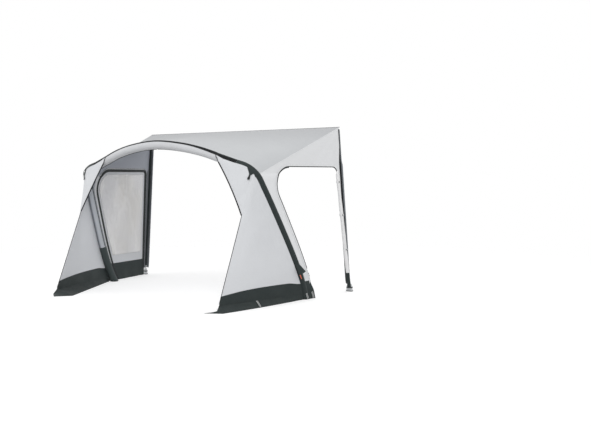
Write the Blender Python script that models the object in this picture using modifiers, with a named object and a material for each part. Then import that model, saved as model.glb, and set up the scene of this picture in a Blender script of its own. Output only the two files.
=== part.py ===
# Inflatable caravan sunshade: a cloth canopy hung from a caravan's awning rail and carried at the
# front by one curved air beam, with side walls, splayed front wings and zipped side doors.
# Metres, +Z up. The caravan's wall is the plane y = wallY, +X is the right side seen from the
# front, the floor is z = 0 and the origin is the centre of the base.
import math

import bmesh
import bpy
from mathutils import Matrix, Vector

# Stance
railHeight = 2.400          # awning rail above the floor
railHalf = 1.828            # half the canopy's width at the rail
rearFootHalf = 2.000        # half the width of the side walls at the floor, against the wall
tipReach = 2.605            # from the caravan to the foremost tip of a mud flap
wallY = tipReach / 2

# Air beam: one tube bent into an arch whose plane leans forwards
archLean = math.radians(24.4)
beamFootReach = 0.965       # beam centre to the caravan at the floor
beamFootHalf = 1.800        # beam centre to the middle at the floor
crownHeight = 2.123         # beam centre at the middle of the arch
shoulderHalf = 1.545
shoulderHeight = 1.690
bladderRadius = 0.0560
sleeveThick = 0.0020
sides = 12

# Cloth
clothThick = 0.0020
gap = 0.0004                # what touching pieces keep between them
skirtHeight = 0.250         # dark skirt above the floor
flapHeight = 0.100          # mud flap below the skirt's seam
cuffHeight = 0.560          # dark cuff round the beam's foot
roofSag = 0.020
doorSkirtHeight = 0.280
pipingRadius = 0.0035

# Where the cloth meets the beam, as angles round the tube: 0 outwards, + to the caravan
bandRear = math.radians(14.0)
bandFrontTop = math.radians(-12.0)
bandFrontLeg = math.radians(-66.0)
seamTurn = math.radians(0.8)

# Front wing
wingTopHalf = 0.990         # where a wing's free edge leaves the beam
kinkHalf, kinkReach, kinkHeight = 1.466, 1.960, 1.175
tipHalf, tipEdgeReach = 1.460, 2.484
spikeHalf = 1.342
hemFlare = 0.130            # how far the mud flap is pegged outwards
doorFlare = (0.030, 0.034)  # how far the strip's rear end stands out, at the seam and at the floor

# Side door: a rounded opening in the side wall, closed by a zipped panel
doorFrontReach = 0.840      # front edge of the door at the floor
doorFrontLean = math.radians(22.8)
doorTop = 1.820
doorRearFoot = 0.072
doorRearTop = 0.125
doorNoseRadius = 0.300
doorRearRadius = 0.100
zipRadius = 0.0040
doorHingeOut = 0.018        # the door folds back about a line this far outside its rear edge
windowMargin = 0.105
windowBottom = 0.420
windowLap = 0.010
filmThick = 0.0012

# Rear edge: padded bar, pole in a sleeve and foot
padWidth, padDepth = 0.095, 0.025
padBottom, padTop = 0.112, railHeight - 0.020
padInwards = 0.0225         # how far a pad's middle lies inside the wall's rear edge
poleRadius, poleSleeveOuter, poleSleeveInner = 0.0095, 0.0125, 0.0105
poleTop = 1.250
sleeveTop = railHeight - 0.100
footWidth, footDepth, footHeight = 0.100, 0.056, 0.105
beadRadius = 0.0035

# Rolled-up door on the right
rollRadius = 0.033
rollTurns = 2.5
rollPitch = 0.0070
tieThick, tieWidth = 0.0020, 0.022

# Small hardware
strapWidth, strapThick, strapLength = 0.025, 0.0016, 0.060
buckleLength, buckleThick, buckleWall = 0.026, 0.0070, 0.0045
gussetLength, gussetHalf = 0.080, 0.086
gussetRise = 0.100           # its middle above the shoulder, along the beam
strapLean = 0.065           # how far a storm strap hangs off the wing, for each unit down
sliderLength, sliderWidth, sliderDepth = 0.016, 0.012, 0.007
pullLength, pullThick = 0.050, 0.0025
sliderSeat = zipRadius
valveStep = 1                # stations below the cuff's top edge
valveTurn = math.radians(-25.0)
valveRadius, valveLength, valveBore = 0.018, 0.020, 0.009
capWall, capLength = 0.0022, 0.0170
plungerRadius, plungerLength = 0.0083, 0.0085
flapLength, flapTurn = 0.125, math.radians(24.0)
flapRise = math.radians(30.0)
tagWidth, tagLength = 0.018, 0.065
tabWidth, tabLength, tabThick = 0.026, 0.105, 0.0025
beamFootHeight = 0.012

sleeveOuter = bladderRadius + 0.0005 + sleeveThick
clothRadius = sleeveOuter + 0.0008 + clothThick / 2
hemLift = clothThick / 2 + 0.0004
flapFold = 0.0011           # how far the skirt and the flap stop short of their seam
archNormal = Vector((0, math.cos(archLean), math.sin(archLean)))

for item in list(bpy.data.objects):
    bpy.data.objects.remove(item, do_unlink=True)
parts = bpy.data.collections.new("inflatable_caravan_sunshade")
cutters = bpy.data.collections.new("cutters")
bpy.context.scene.collection.children.link(parts)
bpy.context.scene.collection.children.link(cutters)


def paint(name, color, roughness, metallic=0.0, alpha=1.0):
    made = bpy.data.materials.new(name)
    made.use_nodes = True
    shader = made.node_tree.nodes["Principled BSDF"]
    shader.inputs["Base Color"].default_value = (*color, 1.0)
    shader.inputs["Roughness"].default_value = roughness
    shader.inputs["Metallic"].default_value = metallic
    shader.inputs["Alpha"].default_value = alpha
    made.diffuse_color = (*color, alpha)
    return made


def place(x, reach, height):
    # A point by its width, its distance in front of the caravan and its height.
    return Vector((x, wallY - reach, height))


def mix(a, b, t):
    return a + (b - a) * t


def keep(thing, name, material, collection=parts, smooth=True):
    # Puts a finished mesh in the scene under its name, with a material of its own.
    made = bpy.data.objects.new(name, thing)
    collection.objects.link(made)
    thing.materials.append(paint(name, *material))
    if smooth and hasattr(thing, "shade_smooth"):
        thing.shade_smooth()
        thing.set_sharp_from_angle(angle=math.radians(35))
    return made


def pivot(thing, point):
    # Moves an object's origin onto its joint's axis, with the shape left where it is.
    here = thing.matrix_world.copy()
    moved = here.copy()
    moved.translation = point
    thing.data.transform(moved.inverted() @ here)
    thing.matrix_world = moved
    return thing


def thicken(thing, thickness, offset=0.0):
    shell = thing.modifiers.new("thickness", "SOLIDIFY")
    shell.thickness = thickness
    shell.offset = offset
    shell.use_even_offset = True
    shell.use_quality_normals = True
    return thing


def sheet(name, columns, thickness, material, offset=0.0, ring=False, loop=False):
    # A cloth: a grid laid on columns of points and given its thickness. A ring joins the
    # columns' ends, a loop joins the last column to the first.
    wide, tall = len(columns), len(columns[0])
    mesh = bpy.data.meshes.new(name)
    work = bmesh.new()
    bmesh.ops.create_grid(work, x_segments=wide - 1, y_segments=tall - 1, size=0.5)
    for vert in work.verts:
        i = round((vert.co.x + 0.5) * (wide - 1))
        j = round((vert.co.y + 0.5) * (tall - 1))
        vert.co = columns[i][j]
    if ring or loop:
        bmesh.ops.remove_doubles(work, verts=work.verts, dist=0.00001)
    work.to_mesh(mesh)
    work.free()
    return thicken(keep(mesh, name, material), thickness, offset)


def draw(columns, start=0.0, end=0.0, low=0.0, high=0.0):
    # Draws a grid's borders in by set distances along its own lines.
    made = [list(column) for column in columns]
    if low or high:
        for column in made:
            first, last = column[1] - column[0], column[-2] - column[-1]
            column[0] = column[0] + first.normalized() * low
            column[-1] = column[-1] + last.normalized() * high
    for j in range(len(made[0])):
        first, last = made[1][j] - made[0][j], made[-2][j] - made[-1][j]
        made[0][j] = made[0][j] + first.normalized() * start
        made[-1][j] = made[-1][j] + last.normalized() * end
    return made


def cord(name, points, radius, material, resolution=1, cyclic=False):
    # A round cord or piping along a line of points.
    curve = bpy.data.curves.new(name, "CURVE")
    curve.dimensions = "3D"
    line = curve.splines.new("POLY")
    line.points.add(len(points) - 1)
    for spot, point in zip(line.points, points):
        spot.co = (*point, 1)
    line.use_cyclic_u = cyclic
    curve.bevel_depth = radius
    curve.bevel_resolution = resolution
    curve.use_fill_caps = not cyclic
    return keep(curve, name, material)


def box(name, size, frame, material, soften=0.0, collection=parts):
    # A block centred on its frame; its edges are softened where asked.
    mesh = bpy.data.meshes.new(name)
    work = bmesh.new()
    bmesh.ops.create_cube(work, size=1.0)
    bmesh.ops.scale(work, vec=size, verts=work.verts)
    work.to_mesh(mesh)
    work.free()
    made = keep(mesh, name, material, collection)
    made.matrix_world = frame
    if soften:
        edge = made.modifiers.new("edges", "BEVEL")
        edge.width = soften
        edge.segments = 2
    return made


def turned(name, profile, frame, material, steps=18):
    # A turned piece: radius and height pairs, outer side from the top down.
    mesh = bpy.data.meshes.new(name)
    work = bmesh.new()
    verts = [work.verts.new((radius, 0, height)) for radius, height in profile]
    for a, b in zip(verts, verts[1:]):
        work.edges.new((a, b))
    work.to_mesh(mesh)
    work.free()
    made = keep(mesh, name, material, smooth=False)
    made.matrix_world = frame
    spin = made.modifiers.new("turn", "SCREW")
    spin.steps = steps
    spin.render_steps = steps
    spin.use_merge_vertices = True
    spin.merge_threshold = 0.00001
    return made


def cut(thing, cutter):
    cutter.hide_render = True
    cutter.display_type = "WIRE"
    work = thing.modifiers.new("cut", "BOOLEAN")
    work.operation = "DIFFERENCE"
    work.solver = "EXACT"
    work.object = cutter
    return thing


def frame(origin, across, up):
    # A right-handed frame: x across, y up, z out of the face.
    x = across.normalized()
    z = x.cross(up).normalized()
    y = z.cross(x)
    made = Matrix((x, y, z)).transposed().to_4x4()
    made.translation = origin
    return made


# The arch's centre line, half of it from the crown down: half width, height and the number of
# steps to the next point. Its own route points stand where other pieces begin and end.
archRoute = [
    (0.0, crownHeight, 2),
    (0.42, crownHeight - 0.037, 2),
    (0.75, crownHeight - 0.105, 2),
    (wingTopHalf - 0.010, crownHeight - 0.178, 1),
    (wingTopHalf + 0.020, crownHeight - 0.188, 2),
    (1.24, shoulderHeight + 0.169, 2),
    (shoulderHalf - 0.105, shoulderHeight + 0.100, 4),
    (shoulderHalf, shoulderHeight, 3),
    (shoulderHalf + 0.045, shoulderHeight - 0.150, 3),
    (shoulderHalf + 0.140, shoulderHeight - 0.580, 3),
    (beamFootHalf - 0.015, cuffHeight, 3),
    (beamFootHalf + 0.015, skirtHeight, 2),
    (beamFootHalf + 0.012, flapHeight, 1),
    (beamFootHalf, 0.0, 0),
]
routeNames = ["crown", "inner", "haunch", "wingTop", "wingStart", "outer", "bend", "shoulder",
              "armpit", "thigh", "cuff", "skirt", "seam", "foot"]
stationOf = {}
total = 0
for label, (half, height, steps) in zip(routeNames, archRoute):
    stationOf[label] = total
    total += steps
lastStation = total


def smoothSpan(p, t):
    # A centripetal Catmull-Rom span between the two middle points of four.
    knots = [0.0]
    for a, b in zip(p, p[1:]):
        knots.append(knots[-1] + max((b - a).length, 1e-6) ** 0.5)
    k0, k1, k2, k3 = knots
    u = k1 + (k2 - k1) * t
    a1 = p[0] * ((k1 - u) / (k1 - k0)) + p[1] * ((u - k0) / (k1 - k0))
    a2 = p[1] * ((k2 - u) / (k2 - k1)) + p[2] * ((u - k1) / (k2 - k1))
    a3 = p[2] * ((k3 - u) / (k3 - k2)) + p[3] * ((u - k2) / (k3 - k2))
    b1 = a1 * ((k2 - u) / (k2 - k0)) + a2 * ((u - k0) / (k2 - k0))
    b2 = a2 * ((k3 - u) / (k3 - k1)) + a3 * ((u - k1) / (k3 - k1))
    return b1 * ((k2 - u) / (k2 - k1)) + b2 * ((u - k1) / (k2 - k1))


def archCentre():
    route = [place(half, beamFootReach + math.tan(archLean) * height, height)
             for half, height, steps in archRoute]
    mirrored = route[1].copy()
    mirrored.x = -mirrored.x
    line = [mirrored] + route + [route[-1] * 2 - route[-2]]
    centre = []
    for k, (half, height, steps) in enumerate(archRoute[:-1]):
        centre += [smoothSpan(line[k:k + 4], n / steps) for n in range(steps)]
    return centre + [route[-1]]


halfCentre = archCentre()


def centre(i):
    # The beam's centre at a station: 0 is the crown, + goes right and - goes left.
    point = halfCentre[abs(i)].copy()
    point.x = math.copysign(point.x, i) if i else 0.0
    return point


def heading(i):
    before, after = max(i - 1, -lastStation), min(i + 1, lastStation)
    return (centre(after) - centre(before)).normalized()


def along(i, radius, turn, shift=0.0, floor=None):
    # A point on a tube round the beam. Given a floor, it slides down the tube to that height.
    ahead = heading(i)
    out = ahead.cross(archNormal).normalized()
    point = centre(i) + ahead * shift + radius * (math.cos(turn) * out + math.sin(turn) * archNormal)
    if floor is not None:
        point += ahead * ((floor - point.z) / ahead.z)
    return point


def at(label, side=1):
    return stationOf[label] * side


def bandFront(i):
    # The band's front edge: near the top of the tube over the wings, round its front down a leg.
    bend, shoulder = stationOf["bend"], stationOf["shoulder"]
    t = min(max((abs(i) - bend) / (shoulder - bend), 0.0), 1.0)
    return mix(bandFrontTop, bandFrontLeg, t)


def turns(first, last, count):
    return [mix(first, last, n / count) for n in range(count + 1)]


def tube(name, first, last, outer, thick, material, floor=None):
    # A sleeve round the beam between two stations, open at both ends.
    way = 1 if last > first else -1
    stations = list(range(first, last + way, way))
    if way < 0:
        stations.reverse()
    rows = []
    for i in stations:
        shift = gap if i == stations[0] else -gap if i == stations[-1] else 0.0
        low = floor if abs(i) == lastStation else None
        rows.append([along(i, outer, 2 * math.pi * n / sides, shift, low) for n in range(sides + 1)])
    return sheet(name, rows, thick, material, offset=-1.0, ring=True)


lightCloth = ((0.66, 0.67, 0.68), 0.75)
roofCloth = ((0.60, 0.61, 0.62), 0.75)
wingCloth = ((0.69, 0.70, 0.71), 0.75)
darkCloth = ((0.032, 0.042, 0.041), 0.70)
cordBlack = ((0.015, 0.017, 0.018), 0.60)
sleeveCloth = ((0.62, 0.63, 0.64), 0.65)
clearFilm = ((0.80, 0.82, 0.83), 0.12, 0.0, 0.35)
metalGrey = ((0.55, 0.56, 0.57), 0.35, 0.9)
plasticGrey = ((0.45, 0.46, 0.46), 0.50)
plasticBlack = ((0.02, 0.02, 0.02), 0.45)
padCloth = ((0.075, 0.092, 0.090), 0.85)
tagRed = ((0.75, 0.16, 0.07), 0.60)
rollCloth = ((0.78, 0.79, 0.80), 0.75)

# Air bladder: the inflated tube, closed at both ends just above its feet
bladderFloor = beamFootHeight + 0.0010
bladder = []
for i in range(-lastStation, lastStation + 1):
    low = bladderFloor if abs(i) == lastStation else None
    bladder.append([along(i, bladderRadius, 2 * math.pi * n / sides, 0.0, low) for n in range(sides)])


def solidTube(name, rings, material):
    # A solid through unlike rings of points, capped at both ends.
    mesh = bpy.data.meshes.new(name)
    work = bmesh.new()
    made = [[work.verts.new(point) for point in one] for one in rings]
    for a, b in zip(made, made[1:]):
        for n in range(len(a)):
            m = (n + 1) % len(a)
            work.faces.new((a[n], b[n], b[m], a[m]))
    work.faces.new(made[0])
    work.faces.new(list(reversed(made[-1])))
    bmesh.ops.recalc_face_normals(work, faces=work.faces)
    work.to_mesh(mesh)
    work.free()
    return keep(mesh, name, material)


solidTube("air_bladder", bladder, ((0.70, 0.72, 0.74), 0.35))

# Sleeves over the bladder: light grey at the crown and thighs, a dark cuff at each foot
tube("crown_sleeve", at("bend", -1), at("bend"), sleeveOuter, sleeveThick, sleeveCloth)
for side, hand in ((-1, "left"), (1, "right")):
    tube(hand + "_leg_sleeve", at("bend", side), at("cuff", side), sleeveOuter, sleeveThick,
         sleeveCloth)
    cuff = tube(hand + "_beam_cuff", at("cuff", side), at("foot", side), sleeveOuter, sleeveThick,
                darkCloth, floor=beamFootHeight + 0.0010)
    stations = range(at("wingTop"), at("skirt") + 1)
    rows = [[along(i * side, clothRadius, turn) for turn in turns(bandFront(i), bandRear, 4)]
            for i in stations]
    band = sheet(hand + "_outer_band", draw(rows, end=gap), clothThick, darkCloth)
    base = centre(at("foot", side))
    foot = Matrix.Translation(Vector((base.x, base.y, beamFootHeight / 2)))
    made = turned(hand + "_beam_foot", [(0.0, beamFootHeight / 2), (0.060, beamFootHeight / 2),
                                        (0.066, beamFootHeight / 2 - 0.004),
                                        (0.066, -beamFootHeight / 2), (0.0, -beamFootHeight / 2)],
                  foot, plasticBlack, steps=28)
    if side > 0:
        rightCuff, rightBand = cuff, band

# Valve on the right leg: its seat is cut through the cuff and the band
valveStation = at("cuff") + valveStep
valveOut = (math.cos(valveTurn) * heading(valveStation).cross(archNormal).normalized()
            + math.sin(valveTurn) * archNormal).normalized()
valveUp = -heading(valveStation)
valveAcross = valveUp.cross(valveOut)


def onValve(depth, rise=0.0):
    # A frame on the valve's axis, z out of the leg, at a distance from the beam's centre.
    return frame(centre(valveStation) + valveOut * depth + valveUp * rise, valveAcross, valveUp)


hole = bpy.data.meshes.new("valve_hole")
work = bmesh.new()
bmesh.ops.create_cone(work, cap_ends=True, segments=28, radius1=valveRadius + 2 * gap,
                      radius2=valveRadius + 2 * gap, depth=0.03)
work.to_mesh(hole)
work.free()
holeCutter = keep(hole, "valve_hole", cordBlack, cutters)
holeCutter.matrix_world = onValve(sleeveOuter)
cut(rightCuff, holeCutter)
cut(rightBand, holeCutter)

valveBase = bladderRadius + gap
boreFloor = valveLength - 0.0145
turned("valve_body", [(0.0, boreFloor), (valveBore, boreFloor), (valveBore, valveLength),
                      (valveRadius, valveLength), (valveRadius, 0.0), (0.0, 0.0)],
       onValve(valveBase), plasticBlack)
plungerFloor = boreFloor + 0.0035
turned("valve_plunger", [(0.0, plungerLength), (plungerRadius, plungerLength),
                         (plungerRadius, 0.0), (0.0, 0.0)],
       onValve(valveBase + plungerFloor), plasticGrey)
capFloor = valveLength + gap + capWall - capLength
capInner = valveRadius + gap
turned("valve_cap", [(0.0, capLength), (capInner + capWall, capLength),
                     (capInner + capWall, 0.0), (capInner, 0.0), (capInner, capLength - capWall),
                     (0.0, capLength - capWall)],
       onValve(valveBase + capFloor), plasticBlack)

# Cloth flap over the valve, lifted by the cap under it, with a red tag on its lower edge
flapHinge = capInner + capWall + 0.046
flapStart = clothRadius + clothThick + gap - 0.0006
rows = []
for n in range(9):
    turn = valveTurn + mix(-flapTurn, flapTurn, n / 8)
    out = (math.cos(turn) * heading(valveStation).cross(archNormal).normalized()
           + math.sin(turn) * archNormal)
    rows.append([centre(valveStation) + valveUp * (flapHinge - flapLength * m / 4)
                 + out * (flapStart + flapLength * m / 4 * math.tan(flapRise)) for m in range(5)])
hinge = centre(valveStation) + valveUp * flapHinge + valveOut * flapStart
pivot(sheet("valve_flap", rows, clothThick, darkCloth), hinge)
corner = rows[1][-1]
drop = (rows[1][-1] - rows[1][-2]).normalized()
tag = frame(corner + drop * (tagLength / 2 + gap), rows[2][-1] - rows[0][-1], -drop)
pivot(box("valve_tag", (tagWidth, tagLength, 0.0012), tag, tagRed), hinge)

# Roof: from the beam to the rail, with a little sag, and the bead on its rear edge
roofTurn = bandRear + seamTurn
shoulder = at("shoulder")
front = [along(i, clothRadius, roofTurn) for i in range(-shoulder, shoulder + 1)]
runs = [0.0]
for a, b in zip(front, front[1:]):
    runs.append(runs[-1] + (b - a).length)
hemReach = 2 * beadRadius + gap


def roofSpot(n, reach, sag=True):
    # A point over the roof at a front station and a distance from the caravan.
    share = runs[n] / runs[-1]
    back = place(mix(-railHalf, railHalf, share), 0.0, railHeight)
    whole = wallY - front[n].y
    t = (whole - reach) / whole
    point = mix(front[n], back, t)
    if sag:
        point.z -= roofSag * 4 * t * (1 - t) * math.sin(math.pi * share)
    return point


rows = []
for n, start in enumerate(front):
    whole = wallY - start.y
    rows.append([roofSpot(n, mix(whole, hemReach, m / 6)) for m in range(7)])
seamInset = 0.0013
sheet("roof_canopy", draw(rows, start=seamInset, end=seamInset), clothThick, roofCloth)
cord("rail_bead", [place(x, beadRadius, railHeight) for x in turns(-railHalf, railHalf, 12)],
     beadRadius, cordBlack)
pipeTurn = bandRear - (pipingRadius + gap) / clothRadius
pipeRing = sleeveOuter + gap + pipingRadius
wingTop = at("wingTop")
edge = [along(i, pipeRing, pipeTurn) for i in range(-wingTop, wingTop + 1)]
for end, inner in ((0, 1), (-1, -2)):
    edge[end] = edge[end] + (edge[inner] - edge[end]).normalized() * 2 * gap
cord("crown_piping", edge, pipingRadius, cordBlack)

# Side walls. Their surface is ruled level from the leg to the rear edge, so a point on one is
# given by its distance from the caravan and its height.
wallTurn = roofTurn
leg = [along(i, clothRadius, wallTurn, floor=0.0 if i == lastStation else None)
       for i in range(shoulder, lastStation + 1)]
legSpots = [(wallY - point.y, point.z, point.x) for point in leg]
seamTop = legSpots[0]


def wallEdge(height):
    # The wall's front border at a height: the leg, and above the shoulder the roof's seam.
    if height >= seamTop[1]:
        t = (height - seamTop[1]) / (railHeight - seamTop[1])
        return mix(seamTop[0], 0.0, t), mix(seamTop[2], railHalf, t)
    for upper, lower in zip(legSpots, legSpots[1:]):
        if height >= lower[1]:
            t = (height - lower[1]) / (upper[1] - lower[1])
            return mix(lower[0], upper[0], t), mix(lower[2], upper[2], t)
    return legSpots[-1][0], legSpots[-1][2]


def rearX(height):
    return mix(rearFootHalf, railHalf, height / railHeight)


def wallX(reach, height):
    edgeReach, edgeX = wallEdge(height)
    if edgeReach < 1e-6:
        return rearX(height)
    return mix(rearX(height), edgeX, reach / edgeReach)


def onWall(side, reach, height, out=0.0):
    return place(side * (wallX(reach, height) + out), reach, height)


# The door's outline, as five pieces: front edge, nose, top edge, rear corner and rear edge
rearLean = math.atan((doorRearTop - doorRearFoot) / doorTop)
noseCentre = (doorFrontReach + math.tan(doorFrontLean) * (doorTop - doorNoseRadius)
              - doorNoseRadius / math.cos(doorFrontLean), doorTop - doorNoseRadius)
rearCentre = (mix(doorRearFoot, doorRearTop, (doorTop - doorRearRadius) / doorTop)
              + doorRearRadius / math.cos(rearLean), doorTop - doorRearRadius)


def doorSpot(piece, t, inset=0.0, frontFoot=0.0, rearFoot=0.0):
    # A point on the door's outline, drawn in by an inset, as (reach, height).
    if piece == 1 or piece == 3:
        middle, radius = ((noseCentre, doorNoseRadius), (rearCentre, doorRearRadius))[piece // 2]
        first, last = ((-doorFrontLean, math.pi / 2), (math.pi / 2, math.pi - rearLean))[piece // 2]
        turn = mix(first, last, t)
        return (middle[0] + (radius - inset) * math.cos(turn),
                middle[1] + (radius - inset) * math.sin(turn))
    noseFoot, noseTop = doorSpot(1, 0.0, inset), doorSpot(1, 1.0, inset)
    cornerTop, cornerFoot = doorSpot(3, 0.0, inset), doorSpot(3, 1.0, inset)
    if piece == 0:
        foot = noseFoot[0] - math.tan(doorFrontLean) * (noseFoot[1] - frontFoot)
        return mix(foot, noseFoot[0], t), mix(frontFoot, noseFoot[1], t)
    if piece == 2:
        return mix(noseTop[0], cornerTop[0], t), mix(noseTop[1], cornerTop[1], t)
    foot = cornerFoot[0] - math.tan(rearLean) * (cornerFoot[1] - rearFoot)
    return mix(cornerFoot[0], foot, t), mix(cornerFoot[1], rearFoot, t)


rearReach = padDepth + gap
wallRearFoot = footHeight + 0.012
skirtTop = leg[at("skirt") - shoulder].z
lengths = []
for piece in range(5):
    a = doorSpot(piece, 0.0, 0.0, skirtTop, wallRearFoot)
    b = doorSpot(piece, 1.0, 0.0, skirtTop, wallRearFoot)
    straight = math.dist(a, b)
    turning = {1: (math.pi / 2 + doorFrontLean) * doorNoseRadius,
               3: (math.pi / 2 - rearLean) * doorRearRadius}
    lengths.append(turning.get(piece, straight))
ends = [sum(lengths[:n]) for n in range(6)]


def doorAt(run):
    for piece in range(5):
        if run <= ends[piece + 1] + 1e-9:
            return piece, min(max((run - ends[piece]) / lengths[piece], 0.0), 1.0)
    return 4, 1.0


def sharesOf(points):
    runs = [0.0]
    for a, b in zip(points, points[1:]):
        runs.append(runs[-1] + math.dist(a, b))
    return [run / runs[-1] for run in runs]


# The wall's outer border in three stretches: up the leg, back along the seam, down the rear edge
upLeg = [spot[:2] for spot in reversed(legSpots[:at("skirt") - shoulder + 1])]
seamBack = (1 - rearReach / seamTop[0])
alongSeam = [(mix(seamTop[0], 0.0, t * seamBack), mix(seamTop[1], railHeight, t * seamBack))
             for t in (1 - (1 - n / 12) ** 1.3 for n in range(13))]
downRear = [(rearReach, mix(alongSeam[-1][1], wallRearFoot, t))
            for t in ((n / 11) ** 1.6 for n in range(12))]
marks = [0.0, ends[1] + 0.5 * lengths[1], ends[3] + 0.5 * lengths[3], ends[5]]
bias = (lambda s: 1 - (1 - s) ** 1.45, lambda s: mix(s, (1 - math.cos(math.pi * s)) / 2, 0.7),
        lambda s: s)
border, runsOn = [], []
for stretch, (points, a, b) in enumerate(((upLeg, marks[0], marks[1]),
                                          (alongSeam, marks[1], marks[2]),
                                          (downRear, marks[2], marks[3]))):
    first = 0 if stretch == 0 else 1
    shares = sharesOf(points)
    border += points[first:]
    runsOn += [mix(a, b, bias[stretch](share)) for share in shares[first:]]
for junction in ends[1:5]:
    nearest = min(range(1, len(runsOn) - 1), key=lambda n: abs(runsOn[n] - junction))
    runsOn[nearest] = junction
doorMarks = [doorAt(run) for run in runsOn]
zipOut = zipRadius + 2 * gap
for side, hand in ((-1, "left"), (1, "right")):
    rows = []
    for n, (outer, (piece, t)) in enumerate(zip(border, doorMarks)):
        inner = doorSpot(piece, t, -zipOut, skirtTop, wallRearFoot)
        if n >= len(upLeg) - 1:
            step = seamInset / math.dist(outer, inner)
            outer = (mix(outer[0], inner[0], step), mix(outer[1], inner[1], step))
        rows.append([onWall(side, mix(outer[0], inner[0], m / 3), mix(outer[1], inner[1], m / 3))
                     for m in range(4)])
    sheet(hand + "_side_wall", draw(rows, start=gap), clothThick, lightCloth)
    teeth = [onWall(side, *doorSpot(piece, t, 0.0, hemLift + zipRadius, wallRearFoot))
             for piece, t in doorMarks]
    cord(hand + "_door_zip", teeth, zipRadius, cordBlack)

# Left door: a panel round a clear window, with its own skirt, shut
doorInset = zipOut


def doorLoop(inset, foot):
    line = [doorSpot(piece, t, inset, foot, foot) for piece, t in doorMarks]
    sill = [(mix(line[-1][0], line[0][0], n / 7), foot) for n in range(1, 7)]
    return line + sill + [line[0]]


outerLoop, innerLoop = doorLoop(doorInset, doorSkirtHeight), doorLoop(windowMargin, windowBottom)
rows = [[onWall(-1, mix(a[0], b[0], m / 2), mix(a[1], b[1], m / 2)) for m in range(3)]
        for a, b in zip(outerLoop, innerLoop)]
hingeFoot = onWall(-1, *doorSpot(4, 1.0, doorInset, 0.0, 0.0), out=doorHingeOut)
hingeTop = onWall(-1, *doorSpot(4, 0.0, doorInset, 0.0, 0.0), out=doorHingeOut)
pivot(sheet("left_door_panel", rows, clothThick, lightCloth, loop=True), hingeFoot)


def doorSpan(height, inset):
    # The door's front and rear limits at a height.
    middle, radius = noseCentre, doorNoseRadius - inset
    noseFoot = doorSpot(1, 0.0, inset)
    if height <= noseFoot[1]:
        ahead = noseFoot[0] - math.tan(doorFrontLean) * (noseFoot[1] - height)
    else:
        ahead = middle[0] + math.sqrt(max(radius ** 2 - (height - middle[1]) ** 2, 0.0))
    cornerFoot = doorSpot(3, 1.0, inset)
    middle, radius = rearCentre, doorRearRadius - inset
    if height <= cornerFoot[1]:
        behind = cornerFoot[0] - math.tan(rearLean) * (cornerFoot[1] - height)
    else:
        behind = middle[0] - math.sqrt(max(radius ** 2 - (height - middle[1]) ** 2, 0.0))
    return ahead, behind


filmInset = windowMargin - windowLap
filmTop = doorTop - filmInset
filmOut = -(clothThick + filmThick) / 2 - 4 * gap
heights = [mix(windowBottom - windowLap, filmTop, math.sin(math.pi / 2 * n / 11)) for n in range(12)]
rows = []
for n in range(9):
    column = []
    for height in heights:
        ahead, behind = doorSpan(height, filmInset)
        t = n / 8
        level = (height - heights[0]) / (heights[-1] - heights[0])
        wave = max(math.sin(math.pi * t) * math.sin(math.pi * level), 0.0) ** 0.5
        ripple = 0.004 * wave * (math.sin(9.0 * t + 5.0 * level) - 1.1)
        column.append(onWall(-1, mix(ahead, behind, t), height, out=filmOut + ripple))
    rows.append(column)
pivot(sheet("left_door_window", rows, filmThick, clearFilm), hingeFoot)
rows = []
for n in range(8):
    column = []
    for height in turns(hemLift, doorSkirtHeight - gap, 3):
        ahead, behind = doorSpan(height, doorInset)
        column.append(onWall(-1, mix(ahead, behind, n / 7), height))
    rows.append(column)
pivot(sheet("left_door_skirt", rows, clothThick, darkCloth), hingeFoot)


def slider(name, side, piece, height):
    # A zip slider with its pull, on the outer side of the teeth.
    line = doorSpot(piece, 0.0, 0.0), doorSpot(piece, 1.0, 0.0)
    t = (height - line[0][1]) / (line[1][1] - line[0][1])
    here = (mix(line[0][0], line[1][0], t), height)
    a = onWall(side, *here)
    b = onWall(side, mix(line[0][0], line[1][0], t + 0.02), mix(line[0][1], line[1][1], t + 0.02))
    up = (b - a).normalized() * (1 if b.z > a.z else -1)
    out = Vector((side, 0, 0))
    z = out.cross(up).normalized()
    x = up.cross(z)
    spot = Matrix((x, up, z)).transposed().to_4x4()
    spot.translation = a + x * sliderSeat
    half, deep = sliderLength / 2, sliderDepth
    profile = [(0, half), (deep, half), (deep, -pullLength), (deep - pullThick, -pullLength),
               (deep - pullThick, -half), (0, -half)]
    curve = bpy.data.curves.new(name, "CURVE")
    curve.dimensions = "2D"
    curve.fill_mode = "BOTH"
    curve.extrude = sliderWidth / 2
    line = curve.splines.new("POLY")
    line.points.add(len(profile) - 1)
    line.use_cyclic_u = True
    for point, (px, py) in zip(line.points, profile):
        point.co = (px, py, 0, 1)
    made = keep(curve, name, metalGrey)
    made.matrix_world = spot
    return made


slider("left_slider_front", -1, 0, 0.42)
slider("left_slider_rear", -1, 4, 0.42)
slider("right_slider", 1, 0, 0.36)

# Right door: rolled up about its rear edge and held by three ties
pinch = 0.08
rollReach = zipRadius + 5 * gap + rollRadius * (1 - pinch) + tieThick
rollTurnFoot, rollTurnTop = math.radians(17.0), math.radians(62.0)
rollSeats = [(zipOut + rollReach * math.cos(a) / math.cos((rollTurnTop - rollTurnFoot) / 2),
              rollReach * math.sin(a) / math.cos((rollTurnTop - rollTurnFoot) / 2))
             for a in (rollTurnFoot, rollTurnTop)]
rollFoot, rollTop, rollSplit = 0.068, 1.715, doorSkirtHeight


def rollCentre(height):
    low, high = [onWall(1, doorSpan(z, 0.0)[1] + ahead, z, out) for z, (out, ahead)
                 in zip((rollFoot, rollTop - 0.12), rollSeats)]
    return mix(low, high, (height - low.z) / (high.z - low.z))


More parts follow.
